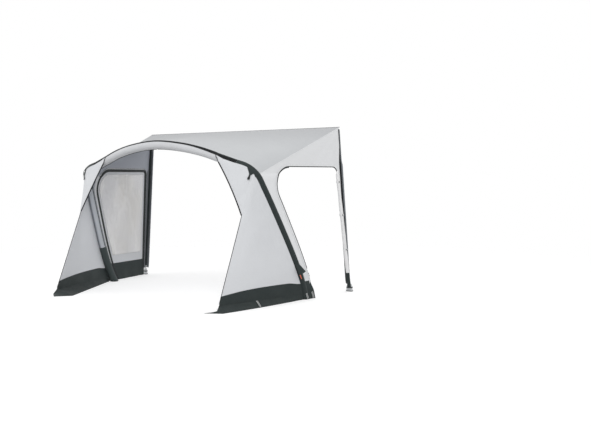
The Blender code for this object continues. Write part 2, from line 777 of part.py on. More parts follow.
tieHeights = {"roll_tie_low": 0.62, "roll_tie_middle": 1.12, "roll_tie_top": 1.60}
for name, low, high, color in (("right_roll_skirt", rollFoot, rollSplit - gap, darkCloth),
                               ("right_door_roll", rollSplit, rollTop, rollCloth)):
    rows = []
    count = max(2, round((high - low) / 0.240))
    levels = sorted(set(turns(low, high, count)) | {z for z in tieHeights.values() if low < z < high})
    steps = round(rollTurns * 11)
    for height in levels:
        near = min(abs(height - z) for z in tieHeights.values())
        squeeze = 1 - pinch * math.exp(-(near / 0.03) ** 2)
        middle = rollCentre(height)
        column = []
        for n in range(steps + 1):
            turn = 2 * math.pi * rollTurns * n / steps
            radius = (rollRadius - 0.0016 - rollPitch * turn / (2 * math.pi)) * squeeze
            column.append(middle + Vector((math.cos(turn - 1.2), math.sin(turn - 1.2), 0)) * radius)
        rows.append(column)
    sheet(name, rows, 0.0030, color)
rollAxis = (rollCentre(rollTop) - rollCentre(rollFoot)).normalized()
for name, height in tieHeights.items():
    inner = rollRadius * (1 - pinch) + 0.0008
    middle = rollCentre(height)
    x = Vector((0, 1, 0)).cross(rollAxis).normalized()
    spot = Matrix((x, rollAxis.cross(x), rollAxis)).transposed().to_4x4()
    spot.translation = middle
    outer, half = inner + tieThick, tieWidth / 2
    turned(name, [(outer, half), (outer, -half), (inner, -half), (inner, half), (outer, half)],
           spot, darkCloth)

# Rear edges: padded bars against the caravan, poles in dark sleeves, and feet
poleReach = padDepth + gap + poleSleeveOuter
poleIn = clothThick / 2 + gap + poleSleeveOuter + 0.0012
for side, hand in ((-1, "left"), (1, "right")):
    low, high = [place(side * (rearX(z) - padInwards), padDepth / 2, z) for z in (padBottom, padTop)]
    rise = (high - low).normalized()
    x = Vector((0, 1, 0)).cross(rise).normalized()
    spot = Matrix((x, rise.cross(x), rise)).transposed().to_4x4()
    spot.translation = (low + high) / 2
    box(hand + "_rear_pad", (padWidth, padDepth, (high - low).length), spot, padCloth, 0.006)

    def poleAt(height):
        ends = [onWall(side, poleReach, z, out=-poleIn) for z in (footHeight, sleeveTop)]
        return mix(ends[0], ends[1], (height - ends[0].z) / (ends[1].z - ends[0].z))

    rise = (poleAt(padTop) - poleAt(padBottom)).normalized()
    x = Vector((0, 1, 0)).cross(rise).normalized()
    turn = Matrix((x, rise.cross(x), rise)).transposed().to_4x4()
    low, high = poleAt(footHeight + 0.055), poleAt(sleeveTop)
    turn.translation = low
    tall = (high - low).length
    turned(hand + "_pole_sleeve", [(poleSleeveOuter, tall), (poleSleeveOuter, 0.0),
                                   (poleSleeveInner, 0.0), (poleSleeveInner, tall),
                                   (poleSleeveOuter, tall)], turn.copy(), darkCloth, steps=16)
    low, high = poleAt(footHeight + 0.0015), poleAt(poleTop)
    turn.translation = low
    tall = (high - low).length
    turned(hand + "_rear_pole", [(0.0, tall), (poleRadius, tall), (poleRadius, 0.0), (0.0, 0.0)],
           turn.copy(), metalGrey, steps=16)
    spot = Matrix.Translation(place(side * (rearFootHalf + 0.005), footDepth / 2, footHeight / 2))
    pivot(box(hand + "_rear_foot", (footWidth, footDepth, footHeight), spot, plasticGrey, 0.008), low)

# Front wings. Each row of cloth leaves the band, wraps the tube where it must and runs straight to
# the wing's free edge, which goes from the beam to the kink and on to the tip on the floor.
wingTurn = math.radians(1.2)
strip = clothRadius + 0.0004


def onEdge(side, share):
    # A point on a wing's free edge: 0 at the beam, 1 at the kink, 2 at the tip.
    start = along(at("wingTop", side), clothRadius, math.radians(-95))
    kink = place(side * kinkHalf, kinkReach, kinkHeight)
    tip = place(side * tipHalf, tipEdgeReach, 0.0)
    start = start + (kink - start).normalized() * 0.03
    return mix(start, kink, share) if share <= 1 else mix(kink, tip, share - 1)


def wingRow(i, side, goal, step=0.018, wraps=6, rest=5):
    # One row of points from the band to a goal on the free edge, round the tube and then straight.
    out = heading(i).cross(archNormal).normalized()
    away = goal - centre(i)
    level = Vector((away.dot(out), away.dot(archNormal)))
    toward = math.atan2(level.y, level.x)
    leave = toward + math.acos(min(clothRadius / max(level.length, clothRadius * 1.001), 1.0))
    start = bandFront(i) - wingTurn
    leave = min(start, leave)
    bulge = max(0.0, 1 - abs(abs(i) - (stationOf["bend"] + 2)) / 4)
    lifted = clothRadius + 0.0012 + 0.0030 * bulge
    wrapped = lifted * (start - leave)
    off = along(i, clothRadius if wrapped == 0 else lifted, leave)
    straight = (goal - off).length

    def spot(run):
        if run < wrapped:
            return along(i, lifted if run > 0 else clothRadius, start - run / lifted)
        return mix(off, goal, (run - wrapped) / straight)

    whole = wrapped + straight
    step = min(step, whole / (wraps + rest))
    lengths = [step * n for n in range(wraps + 1)]
    lengths += [mix(lengths[-1], whole, n / rest) for n in range(1, rest + 1)]
    return [spot(run) for run in lengths]


def wingRows(side):
    top, low = at("wingTop"), at("skirt")
    starts = [along(i * side, clothRadius, bandFront(i)) for i in range(top, low + 1)]
    upper = sharesOf(starts[:shoulder - top + 1])
    rows = [wingRow(i * side, side, onEdge(side, share))
            for i, share in zip(range(top, shoulder + 1), upper)]
    lowest = along(low * side, strip, bandFrontLeg - wingTurn).z
    last = 1 + (kinkHeight - lowest) / kinkHeight
    lower = sharesOf(starts[shoulder - top:])
    folded = []
    for n, (i, share) in enumerate(zip(range(shoulder, low + 1), lower)):
        row = wingRow(i * side, side, onEdge(side, mix(1.0, last, share)))
        folded.append(row)
    for n in range(1, len(folded) - 1):
        share = lower[n]
        for m in range(7, len(folded[n]) - 1):
            t = (m - 6) / (len(folded[n]) - 7)
            push = 0.010 * math.sin(math.pi * t) * math.sin(math.pi * share) * math.sin(7.0 * t + 1.5)
            face = (folded[n + 1][m] - folded[n - 1][m]).cross(folded[n][m + 1] - folded[n][m - 1])
            folded[n][m] = folded[n][m] + face.normalized() * push * side
    return rows, folded


edgeClear = pipingRadius + gap


def hem(columns, clear):
    # Draws the last row back from the free edge's piping, square to the edge.
    made = [list(column) for column in columns]
    for n, column in enumerate(columns):
        edge = columns[min(n + 1, len(columns) - 1)][-1] - columns[max(n - 1, 0)][-1]
        edge.normalize()
        back = (column[-2] - column[-1]).normalized()
        across = (back - edge * back.dot(edge)).length
        made[n][-1] = column[-1] + back * clear / max(across, 0.1)
    return made


wings = {}
for side, hand in ((-1, "left"), (1, "right")):
    upper, lower = wingRows(side)
    wings[hand] = upper + lower[1:]
    sheet(hand + "_wing_upper", draw(hem(upper, edgeClear), start=edgeClear + 0.0012, end=gap),
          clothThick, wingCloth)
    sheet(hand + "_wing_lower", draw(hem(lower, edgeClear), start=gap, end=gap), clothThick,
          wingCloth)
    first = at("wingTop", side)
    turnsOut = turns(bandFrontTop - (pipingRadius + 2 * gap) / clothRadius, math.radians(-95), 6)
    edge = [along(first, pipeRing + 0.0004, turn) for turn in turnsOut]
    edge += [onEdge(side, share) for share in (0.0, 0.25, 0.5, 0.75, 0.97, 1.0, 1.03)]
    edge += [onEdge(side, 1 + (1 - height / kinkHeight)) for height in (0.85, 0.55, 0.25, flapHeight)]
    cord(hand + "_wing_piping", edge, pipingRadius, cordBlack)

# Skirts and mud flaps: one strip each, from the door's edge round the leg and out along the wing
legTurns = turns(wallTurn, bandFrontLeg - wingTurn, 5)
wingShares = [n / 7 for n in range(1, 8)]
normal = Vector((tipEdgeReach - beamFootReach, beamFootHalf - tipHalf, 0)).normalized()
top, seam = at("skirt"), at("seam")
for side, hand in ((-1, "left"), (1, "right")):
    def skirtRow(i, floor=None, flare=0.0):
        # The strip at one station, from the door to the wing's free edge.
        ring = [along(i * side, strip + flare, turn, floor=floor) for turn in legTurns]
        height = ring[0].z
        ahead = doorSpan(height, -zipOut)[0]
        edgeReach = wallY - ring[0].y
        row = [onWall(side, mix(ahead, edgeReach, n / 3), height, out=mix(doorFlare[floor is not None]
               if i >= seam else 0.0, flare, n / 3)) for n in range(3)]
        row += ring
        last = ring[-1]
        share = 1 + (kinkHeight - last.z) / kinkHeight
        for t in wingShares:
            point = mix(last, onEdge(side, min(share, 2.0)), t)
            if floor is not None:
                out = Vector((normal.x * side, -normal.y, 0))
                point += out * (hemFlare - 0.02) * (1 - (1 - t) ** 2)
                point.z = floor
            row.append(point)
        return row

    levels = [skirtRow(i) for i in range(seam, top - 1, -1)]
    rows = [[level[n] for level in levels] for n in range(len(levels[0]))]
    rows[-1] = [spot + (near - spot).normalized() * edgeClear for spot, near in zip(rows[-1], rows[-2])]
    sheet(hand + "_skirt", draw(rows, start=gap, low=flapFold, high=gap), clothThick, darkCloth)
    high, low = skirtRow(seam), skirtRow(lastStation, floor=hemLift, flare=0.02)
    rows = [[low[n], mix(low[n], high[n], 0.4), high[n]] for n in range(len(low))]
    last = mix(high[-1], high[-2], edgeClear / (high[-1] - high[-2]).length)
    rows[-1] = [low[-1], mix(low[-1], last, 0.35), mix(high[-2], last, 0.75)]
    rows.append([place(side * spikeHalf, tipReach - gap, hemLift),
                 place(side * (tipHalf + 0.010), tipEdgeReach + 0.020, 0.016), last])
    sheet(hand + "_mud_flap", draw(rows, start=gap, high=flapFold), clothThick, darkCloth)

    # Ladder tabs on the right mud flap, for pegs
    for number, column in enumerate((1, 5, 12) if side > 0 else ()):
        a, b = rows[column][2], rows[column][0]
        down = (b - a).normalized()
        across = (rows[column + 1][1] - rows[column - 1][1]).normalized()
        face = down.cross(across).normalized()
        face *= math.copysign(1.0, face.x * side)
        across = face.cross(down)
        lift = clothThick / 2 + tabThick / 2 + 2 * gap
        patch = bmesh.new()
        bmesh.ops.create_grid(patch, x_segments=3, y_segments=9, size=0.5)
        openings = [f for f in patch.faces if abs(f.calc_center_median().x) < 0.1
                    and round((f.calc_center_median().y + 0.5) * 9 - 0.5) % 2 == 1]
        bmesh.ops.delete(patch, geom=openings, context="FACES_ONLY")
        for vert in patch.verts:
            x = math.copysign(0.5 if abs(vert.co.x) > 0.4 else 0.26, vert.co.x) * tabWidth
            y = (vert.co.y + 0.5) * min(tabLength, (b - a).length - 0.014) + 0.002
            vert.co = a + down * y + across * x + face * lift
        name = "peg_tab_" + ("rear", "leg", "front")[number]
        mesh = bpy.data.meshes.new(name)
        patch.to_mesh(mesh)
        patch.free()
        thicken(keep(mesh, name, plasticGrey), tabThick)

    # Corner gusset on the wing's shoulder, with a storm strap and its buckle
    net = wings[hand]

    def onWing(column, run, lift):
        # A point on the wing at a fractional column and a distance from the band, lifted off it.
        def walk(row):
            left = run
            for a, b in zip(row, row[1:]):
                if left <= (b - a).length:
                    return mix(a, b, left / (b - a).length)
                left -= (b - a).length
            return row[-1]

        n = min(int(column), len(net) - 2)
        spots = walk(net[n]), walk(net[n + 1])
        run += 0.004
        further = walk(net[n]), walk(net[n + 1])
        point = mix(spots[0], spots[1], column - n)
        ahead = mix(further[0], further[1], column - n) - point
        face = ahead.cross(spots[1] - spots[0]).normalized()
        face *= math.copysign(1.0, face.dot(Vector((0.3 * side, -1.0, 0.5))))
        return point + face * lift, face, ahead.normalized()

    starts = [0.0]
    for a, b in zip(net, net[1:]):
        starts.append(starts[-1] + (b[0] - a[0]).length)

    def columnOf(run):
        # The fractional column at a distance down the band from the wing's top.
        n = max(k for k in range(len(starts) - 1) if starts[k] <= run)
        return n + (run - starts[n]) / (starts[n + 1] - starts[n])

    middleRun = starts[shoulder - at("wingTop")] - gussetRise
    middle = columnOf(middleRun)
    lift = clothThick + 2 * gap + 0.0028
    rows = []
    for n in range(19):
        column = []
        for m in range(5):
            t = m / 4
            spread = (n / 9 - 1) * gussetHalf * (1 - 0.80 * t)
            column.append(onWing(columnOf(middleRun + spread), 0.007 + gussetLength * t, lift)[0])
        rows.append(column)
    sheet(hand + "_corner_gusset", rows, clothThick, darkCloth)
    tip, face, down = onWing(middle, 0.007 + gussetLength, lift)
    across = down.cross(face)
    raised = tip + face * (clothThick / 2 + gap + strapThick / 2) - down * 0.010
    down = (down + face * strapLean).normalized()
    strapFrame = Matrix((across, -down, across.cross(-down))).transposed().to_4x4()
    strapFrame.translation = raised + down * strapLength / 2
    strap = box(hand + "_storm_strap", (strapWidth, strapLength, strapThick), strapFrame, darkCloth)
    pivot(strap, raised)
    strapFrame.translation = raised + down * (strapLength - buckleLength / 2 - 0.006)
    buckle = box(hand + "_strap_buckle", (strapWidth + 2 * buckleWall, buckleLength, buckleThick),
                 strapFrame, plasticBlack, 0.0012)
    slot = box(hand + "_buckle_slot", (strapWidth + 2 * gap, buckleLength * 2, strapThick + 2 * gap),
               strapFrame, cordBlack, collection=cutters)
    cut(buckle, slot)
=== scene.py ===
import math

import bmesh
import bpy
from mathutils import Matrix, Vector, noise
from mathutils.bvhtree import BVHTree


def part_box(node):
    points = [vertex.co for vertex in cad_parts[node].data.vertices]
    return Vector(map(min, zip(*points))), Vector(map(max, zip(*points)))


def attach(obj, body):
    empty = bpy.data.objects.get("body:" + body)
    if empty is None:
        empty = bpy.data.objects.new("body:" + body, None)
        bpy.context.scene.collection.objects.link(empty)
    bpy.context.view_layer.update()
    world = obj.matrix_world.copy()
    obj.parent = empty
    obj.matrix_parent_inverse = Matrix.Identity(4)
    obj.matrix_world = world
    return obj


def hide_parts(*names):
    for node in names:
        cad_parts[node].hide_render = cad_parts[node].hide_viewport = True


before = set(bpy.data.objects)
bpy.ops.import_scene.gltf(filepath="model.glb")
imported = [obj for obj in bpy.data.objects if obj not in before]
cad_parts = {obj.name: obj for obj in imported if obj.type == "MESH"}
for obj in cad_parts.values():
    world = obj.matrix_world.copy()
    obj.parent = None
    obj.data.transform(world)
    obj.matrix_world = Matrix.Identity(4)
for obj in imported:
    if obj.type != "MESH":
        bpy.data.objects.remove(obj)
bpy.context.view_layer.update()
print("frame loaded:", len(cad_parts), "nodes")

camera = {"place": (7.39049, -8.84270, 1.67762), "turn": 0.557868, "pitch": -0.046825,
          "roll": -0.004007, "lens": 785.275 / 591 * 36}
lamps = {"key": {"place": (6.5, -7.0, 8.5), "size": 5.0, "power": 420.0},
         "fill": {"place": (-7.5, -5.5, 5.0), "size": 6.0, "power": 200.0},
         "back": {"place": (2.0, 7.0, 7.0), "size": 6.0, "power": 160.0}}
backdrop = {"seen": 1.0, "light": 0.62, "floorSize": 60.0, "floorColor": 0.62, "floorGlow": 0.50,
            "fadeFrom": 5.0, "fadeTo": 9.0}

# The sizes of the frame that the cloth is laid on, in metres
stance = {"railHeight": 2.400, "railHalf": 1.828, "rearFootHalf": 2.000, "tipReach": 2.605}
wallY = stance["tipReach"] / 2
beam = {"lean": math.radians(24.4), "footReach": 0.965, "footHalf": 1.800, "bladder": 0.0560,
        "bladderGap": 0.0005, "sleeve": 0.0020, "clothGap": 0.0008, "plate": 0.013}
cloth = {"thick": 0.0020, "gap": 0.0004, "flapHeight": 0.100, "roofSag": 0.020, "piping": 0.0035}
band = {"rear": math.radians(14.0), "frontTop": math.radians(-12.0),
        "frontLeg": math.radians(-66.0), "seam": math.radians(0.8)}
wing = {"kink": (1.466, 1.960, 1.175), "tip": (1.460, 2.484, 0.0), "spikeHalf": 1.342,
        "flare": 0.130, "seam": math.radians(1.2), "doorFlare": (0.030, 0.034), "drift": 1.2,
        "hollow": 0.018, "inward": 0.30, "edgeTurn": math.radians(-80.0), "edgeStart": 0.03,
        "pipingTurn": math.radians(-72.0), "lift": 0.0012, "bulge": 0.0030, "liftRun": 0.02,
        "density": 5, "wrapSteps": 20, "freeSteps": 36, "wrapStep": 0.0054, "hemSteps": 8}
door = {"frontReach": 0.840, "frontLean": math.radians(22.8), "top": 1.820, "rearFoot": 0.072,
        "rearTop": 0.125, "nose": 0.300, "corner": 0.100, "zip": 0.0040, "margin": 0.105,
        "windowBottom": 0.420, "lap": 0.010, "skirt": 0.280, "film": 0.0012}
edgeBar = {"width": 0.095, "depth": 0.025, "bottom": 0.112, "top": 2.380, "inwards": 0.0225,
           "sleeve": 0.0125, "sleeveTop": 2.300, "footWidth": 0.100, "footDepth": 0.056,
           "footHeight": 0.105}

hands = ((-1, "left"), (1, "right"))
gap, thick = cloth["gap"], cloth["thick"]
sleeveOuter = beam["bladder"] + beam["bladderGap"] + beam["sleeve"]
clothRadius = sleeveOuter + beam["clothGap"] + thick / 2
hemLift = thick / 2 + gap
threadLift = thick * 0.6
archNormal = Vector((0, math.cos(beam["lean"]), math.sin(beam["lean"])))


def place(x, reach, height):  # by its width, its distance from the caravan and its height
    return Vector((x, wallY - reach, height))


def mix(a, b, t):
    return a + (b - a) * t


def between(a, b, t):
    return tuple(mix(p, q, t) for p, q in zip(a, b))


def steps(first, last, count):
    return [mix(first, last, n / count) for n in range(count + 1)]


def ease(t):
    t = min(max(t, 0.0), 1.0)
    return t * t * (3 - 2 * t)


def hump(x, middle, width):
    return math.exp(-((x - middle) / width) ** 2)


def toward(a, b, distance):
    return a + (b - a).normalized() * distance


# The beam's centre line: name, half width, height and the number of stations to the next point
archRoute = [("crown", 0.0, 2.123, 2), ("inner", 0.42, 2.086, 2), ("haunch", 0.75, 2.018, 2),
             ("wingTop", 0.980, 1.945, 1), ("wingStart", 1.010, 1.935, 2), ("outer", 1.24, 1.859, 2),
             ("bend", 1.440, 1.790, 4), ("shoulder", 1.545, 1.690, 3), ("armpit", 1.590, 1.540, 3),
             ("thigh", 1.685, 1.110, 3), ("cuff", 1.785, 0.560, 3), ("skirt", 1.815, 0.250, 2),
             ("seam", 1.812, 0.100, 1), ("foot", 1.800, 0.0, 0)]
counts = [row[3] for row in archRoute]
station = {row[0]: sum(counts[:n]) for n, row in enumerate(archRoute)}
lastStation = station["foot"]


def smoothSpan(p, t):
    knots = [0.0]
    for a, b in zip(p, p[1:]):
        knots.append(knots[-1] + max((b - a).length, 1e-6) ** 0.5)
    k0, k1, k2, k3 = knots
    u = k1 + (k2 - k1) * t
    a1 = p[0] * ((k1 - u) / (k1 - k0)) + p[1] * ((u - k0) / (k1 - k0))
    a2 = p[1] * ((k2 - u) / (k2 - k1)) + p[2] * ((u - k1) / (k2 - k1))
    a3 = p[2] * ((k3 - u) / (k3 - k2)) + p[3] * ((u - k2) / (k3 - k2))
    b1 = a1 * ((k2 - u) / (k2 - k0)) + a2 * ((u - k0) / (k2 - k0))
    b2 = a2 * ((k3 - u) / (k3 - k1)) + a3 * ((u - k1) / (k3 - k1))
    return b1 * ((k2 - u) / (k2 - k1)) + b2 * ((u - k1) / (k2 - k1))


archLine = [place(half, beam["footReach"] + math.tan(beam["lean"]) * height, height)
            for label, half, height, count in archRoute]
archLine = [Vector((-archLine[1].x, *archLine[1].yz))] + archLine
archLine.append(archLine[-1] * 2 - archLine[-2])
centres = {}


def centre(s):  # the beam's centre at any station: 0 is the crown, + is the right half
    key = round(abs(s), 4)
    if key not in centres:
        left = min(key, lastStation)
        k = 0
        while k < len(counts) - 2 and left > counts[k]:
            left -= counts[k]
            k += 1
        centres[key] = smoothSpan(archLine[k:k + 4], left / counts[k])
    point = centres[key].copy()
    point.x = math.copysign(point.x, s) if s else 0.0
    return point


def heading(s):
    before, after = max(s - 0.6, -lastStation), min(s + 0.6, lastStation)
    return (centre(after) - centre(before)).normalized()


def along(s, radius, turn, shift=0.0, floor=None):  # a point on a tube round the beam
    ahead = heading(s)
    out = ahead.cross(archNormal).normalized()
    point = centre(s) + ahead * shift + radius * (math.cos(turn) * out + math.sin(turn) * archNormal)
    if floor is not None:
        point += ahead * ((floor - point.z) / ahead.z)
    return point


def toFloor(s, radius, turn, floor):  # the same, with the last stretch cut level at the floor
    seamStation = station["seam"]
    if abs(s) <= seamStation:
        return along(s, radius, turn)
    high = along(math.copysign(seamStation, s), radius, turn)
    low = along(math.copysign(lastStation, s), radius, turn, floor=floor)
    return mix(high, low, (abs(s) - seamStation) / (lastStation - seamStation))


def at(label, side=1):
    return station[label] * side


def stations(first, last, density=4):
    return steps(first, last, round(abs(last - first) * density))


def bandFront(s):
    bend, shoulder = station["bend"], station["shoulder"]
    t = min(max((abs(s) - bend) / (shoulder - bend), 0.0), 1.0)
    return mix(band["frontTop"], band["frontLeg"], t)


def bulgeAt(s):  # how far the cloth stands off where the beam bends over to the leg
    return max(0.0, 1 - abs(abs(s) - (station["bend"] + 2)) / 4)


class Link:  # a shader socket that takes part in sums
    def __init__(self, maker, socket):
        self.maker, self.socket = maker, socket

    def sum(self, kind, other, swap=False):
        pair = [other, self] if swap else [self, other]
        return self.maker.node("Math", {"operation": kind}, pair)

    def __add__(self, other):
        return self.sum("ADD", other)

    def __sub__(self, other):
        return self.sum("SUBTRACT", other)

    def __rsub__(self, other):
        return self.sum("SUBTRACT", other, True)

    def __mul__(self, other):
        return self.sum("MULTIPLY", other)

    __radd__, __rmul__ = __add__, __mul__


class Nodes:  # a shader's nodes, with the finish's usual ones by name
    def __init__(self, tree, shader):
        self.tree, self.shader = tree, tree.nodes[shader]

    def fill(self, spot, value):
        if isinstance(value, Link):
            self.tree.links.new(value.socket, spot)
        else:
            spot.default_value = (*value, 1.0) if spot.type == "RGBA" and len(value) == 3 else value

    def set(self, socket, value):
        self.fill(self.shader.inputs[socket.replace("_", " ")], value)

    def node(self, kind, settings=None, inputs=(), output=0):
        made = self.tree.nodes.new("ShaderNode" + kind)
        for key, value in (settings or {}).items():
            setattr(made, key, value)
        for key, value in inputs.items() if isinstance(inputs, dict) else enumerate(inputs):
            self.fill(made.inputs[key], value)
        return Link(self, made.outputs[output])

    def place(self, scale=(1, 1, 1), uv=False):
        made = self.node("TexCoord", output=2 if uv else 3)
        return self.node("Mapping", inputs={"Vector": made, "Scale": scale})

    def cloud(self, scale, detail=3.0, rough=0.5, stretch=(1, 1, 1), uv=False):
        return self.node("TexNoise", {"noise_dimensions": "3D"},
                         {"Vector": self.place(stretch, uv), "Scale": scale, "Detail": detail,
                          "Roughness": rough})

    def ramp(self, value, low, high, first=0.0, last=1.0):
        return self.node("MapRange", {"interpolation_type": "SMOOTHSTEP"},
                         {"Value": value, "From Min": low, "From Max": high, "To Min": first,
                          "To Max": last})

    def tint(self, factor, a, b):
        return self.node("Mix", {"data_type": "RGBA"}, {0: factor, 6: a, 7: b}, 2)

    def bump(self, height, distance, strength=1.0, after=None):
        inputs = {"Height": height, "Distance": distance, "Strength": strength}
        if after is not None:
            inputs["Normal"] = after
        return self.node("Bump", inputs=inputs)


class Finish(Nodes):  # one material
    def __init__(self, name, **fixed):
        self.material = bpy.data.materials.new(name)
        self.material.use_nodes = True
        super().__init__(self.material.node_tree, "Principled BSDF")
        for socket, value in fixed.items():
            self.set(socket, value)


def shade(color, factor):
    return tuple(min(c * factor, 1.0) for c in color)


def clothFinish(name, color, weave=0.0011, rough=0.78, creases=0.004, soil=0.0, sheen=0.12, paintedShade=None,
                paintedHighlight=None, mapped=True):
    made = Finish(name, Sheen_Weight=sheen, Sheen_Roughness=0.6, Specular_IOR_Level=0.22)
    patches = made.cloud(0.9, 4.0, 0.55)
    flecks = made.cloud(46.0, 3.0, 0.7)
    tone = made.tint(made.ramp(patches, 0.35, 0.68), shade(color, 0.965), shade(color, 1.03))
    tone = made.tint(made.ramp(flecks, 0.52, 0.80, 0.0, 0.30), tone, shade(color, 0.90))
    height = made.node("SeparateXYZ", inputs=[made.place()], output=2)
    # Painted shade: the tone that takes over between the two heights stands in for shading
    if paintedShade:  # another tone between two heights
        tone = made.tint(made.ramp(height, *paintedShade[:2]), tone, paintedShade[2])
    if paintedHighlight:  # painted highlight: a lighter strip down the side of the tube that faces the camera
        turn = made.node("SeparateXYZ", inputs=[made.place(uv=True)], output=1)
        away = made.node("Math", {"operation": "ABSOLUTE"}, [turn - paintedHighlight[0]])
        tone = made.tint(made.ramp(away, paintedHighlight[2], paintedHighlight[1]), tone, paintedHighlight[3])
    if soil:  # splashed and dusty towards the ground
        splash = made.cloud(22.0, 5.0, 0.65)
        low = made.ramp(height, 0.22, 0.0) * made.ramp(splash, 0.38, 0.70)
        tone = made.tint(low * soil, tone, (0.165, 0.145, 0.115))
    made.set("Base Color", tone)
    made.set("Roughness", made.ramp(flecks, 0.3, 0.7, rough - 0.05, rough + 0.06))
    wave = {"wave_type": "BANDS", "wave_profile": "SIN"}
    across = made.node("TexWave", {**wave, "bands_direction": "X"},
                       {"Vector": made.place(uv=mapped), "Scale": 0.314 / weave}, output=1)
    down = made.node("TexWave", {**wave, "bands_direction": "Y"},
                     {"Vector": made.place(uv=mapped), "Scale": 0.314 / weave}, output=1)
    soft = made.bump(made.cloud(5.5, 4.0, 0.5, (1.0, 1.0, 0.7)), creases)
    made.set("Normal", made.bump(across + down, weave * 0.10, 0.5, soft))
    return made.material


def plainFinish(name, color, rough, scale=60.0, metal=0.0, coat=0.0, relief=0.0003, spread=0.06):
    made = Finish(name, Metallic=metal, Specular_IOR_Level=0.4, Coat_Roughness=0.3)
    flecks = made.cloud(scale, 4.0, 0.6)
    worn = made.cloud(scale / 8, 3.0, 0.6)
    tone = made.tint(made.ramp(flecks, 0.35, 0.7), shade(color, 0.93), shade(color, 1.06))
    made.set("Base Color", made.tint(made.ramp(worn, 0.55, 0.75, 0.0, 0.35), tone, shade(color, 1.25)))
    made.set("Roughness", made.ramp(flecks, 0.3, 0.7, rough - spread, rough + spread))
    if coat:
        made.set("Coat Weight", coat)
    made.set("Normal", made.bump(flecks, relief, 0.6))
    return made.material


def filmFinish(name):
    made = Finish(name, Specular_IOR_Level=0.55, IOR=1.5, Coat_Roughness=0.08)
    folds = made.cloud(3.4, 3.0, 0.45, (1.0, 1.0, 0.45))
    haze = made.cloud(1.3, 2.0, 0.5)
    lines = made.cloud(1.5, 1.2, 0.4, (1.0, 1.6, 0.6))
    crease = made.ramp(made.node("Math", {"operation": "ABSOLUTE"}, [lines - 0.5]), 0.06, 0.0)
    tone = made.tint(made.ramp(haze, 0.35, 0.7), (0.79, 0.79, 0.81), (0.85, 0.835, 0.81))
    made.set("Base Color", made.tint(crease * 0.35, tone, (0.96, 0.96, 0.96)))
    made.set("Roughness", made.ramp(folds, 0.3, 0.7, 0.10, 0.22))
    made.set("Alpha", made.ramp(folds, 0.35, 0.70, 0.62, 0.78) + crease * 0.06)
    made.set("Normal", made.bump(folds, 0.010, 0.5))
    return made.material


finish = {
    # The roof's painted shade: a darker tone from 2.02 m up to the rail stands in for its shading
    "roof": clothFinish("roof_polyester", (0.585, 0.6, 0.615), paintedShade=(2.02, 2.40, (0.475, 0.485, 0.50))),
    "light": clothFinish("wall_polyester", (0.84, 0.85, 0.865)),
    "wing": clothFinish("wing_polyester", (0.745, 0.76, 0.785)),
    "sleeve": clothFinish("beam_sleeve_polyester", (0.65, 0.66, 0.68), creases=0.003),
    # Painted shade: the walls' and roof's inner faces take a darker blue-grey in place of the shade they lie
    # in
    "wallInnerShade": clothFinish("wall_inner_painted_shade", (0.42, 0.44, 0.49), rough=0.6),
    # Painted light: the wings' inner faces take a tone of their own, set for the light they get
    "wingInnerLight": clothFinish("wing_inner_painted_light", (0.78, 0.795, 0.825), rough=0.6),
    # The leg sleeves carry a painted highlight: a lighter strip down the side that faces the camera
    "legSleeve": clothFinish("leg_sleeve_polyester", (0.25, 0.27, 0.30), creases=0.003, rough=0.55,
                             paintedHighlight=(0.2195, 0.030, 0.042, (0.60, 0.63, 0.67))),
    "cuff": clothFinish("padded_cuff_cloth", (0.055, 0.070, 0.070), weave=0.0013, rough=0.62, sheen=0.06),
    "dark": clothFinish("coated_dark_polyester", (0.022, 0.031, 0.031), weave=0.0013, rough=0.62,
                        soil=0.05, sheen=0.06),
    "roll": clothFinish("rolled_polyester", (0.93, 0.93, 0.935), creases=0.006),
    "pad": clothFinish("padded_edge_cloth", (0.2, 0.215, 0.23), weave=0.0018, rough=0.86, creases=0.002,
                       mapped=False),
    "facing": clothFinish("bound_edge_cloth", (0.006, 0.007, 0.008), weave=0.0013, rough=0.72, sheen=0.0),
    "border": clothFinish("door_border_polyester", (0.72, 0.735, 0.76)),
    "webbing": clothFinish("webbing", (0.022, 0.026, 0.027), weave=0.0024, rough=0.7, creases=0.0005),
    "piping": plainFinish("piping_vinyl", (0.01, 0.012, 0.013), 0.42, relief=0.0002),
    "coil": plainFinish("zip_coil", (0.020, 0.022, 0.023), 0.35, 90.0),
    "thread": plainFinish("light_thread", (0.62, 0.63, 0.64), 0.7, 300.0),
    "darkThread": plainFinish("dark_thread", (0.07, 0.075, 0.076), 0.7, 300.0),
    "bladder": plainFinish("bladder_film", (0.70, 0.72, 0.74), 0.3, 20.0, relief=0.0006),
    "film": filmFinish("clear_window_film"),
    "black": plainFinish("black_plastic", (0.022, 0.023, 0.024), 0.40),
    "grey": plainFinish("grey_plastic", (0.46, 0.47, 0.47), 0.48),
    "boot": plainFinish("translucent_grey_boot", (0.66, 0.68, 0.69), 0.40, 30.0),
    "metal": plainFinish("aluminium_tube", (0.62, 0.63, 0.64), 0.30, 120.0, metal=0.95),
    "nickel": plainFinish("nickel_slider", (0.42, 0.42, 0.41), 0.28, 160.0, metal=0.9),
    "tag": clothFinish("red_webbing_tag", (0.66, 0.15, 0.08), weave=0.0020, rough=0.6, creases=0.0005),
}
print("finishes:", len(finish))


def put(mesh, name, kind):
    made = bpy.data.objects.new(name, mesh)
    bpy.context.scene.collection.objects.link(made)
    mesh.materials.clear()
    mesh.materials.append(finish[kind])
    return made


def plain(made, angle=38):  # works the modifiers into the mesh and marks the sharp edges
    deps = bpy.context.evaluated_depsgraph_get()
    mesh = bpy.data.meshes.new_from_object(made.evaluated_get(deps))
    made.modifiers.clear()
    made.data = mesh
    mesh.shade_smooth()
    mesh.set_sharp_from_angle(angle=math.radians(angle))
    return made


def own(made, body="canopy", replaced=()):
    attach(made, body)
    if replaced:
        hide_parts(*replaced)
    return made


def runOf(points):
    runs = [0.0]
    for a, b in zip(points, points[1:]):
        runs.append(runs[-1] + math.dist(a, b))
    return runs


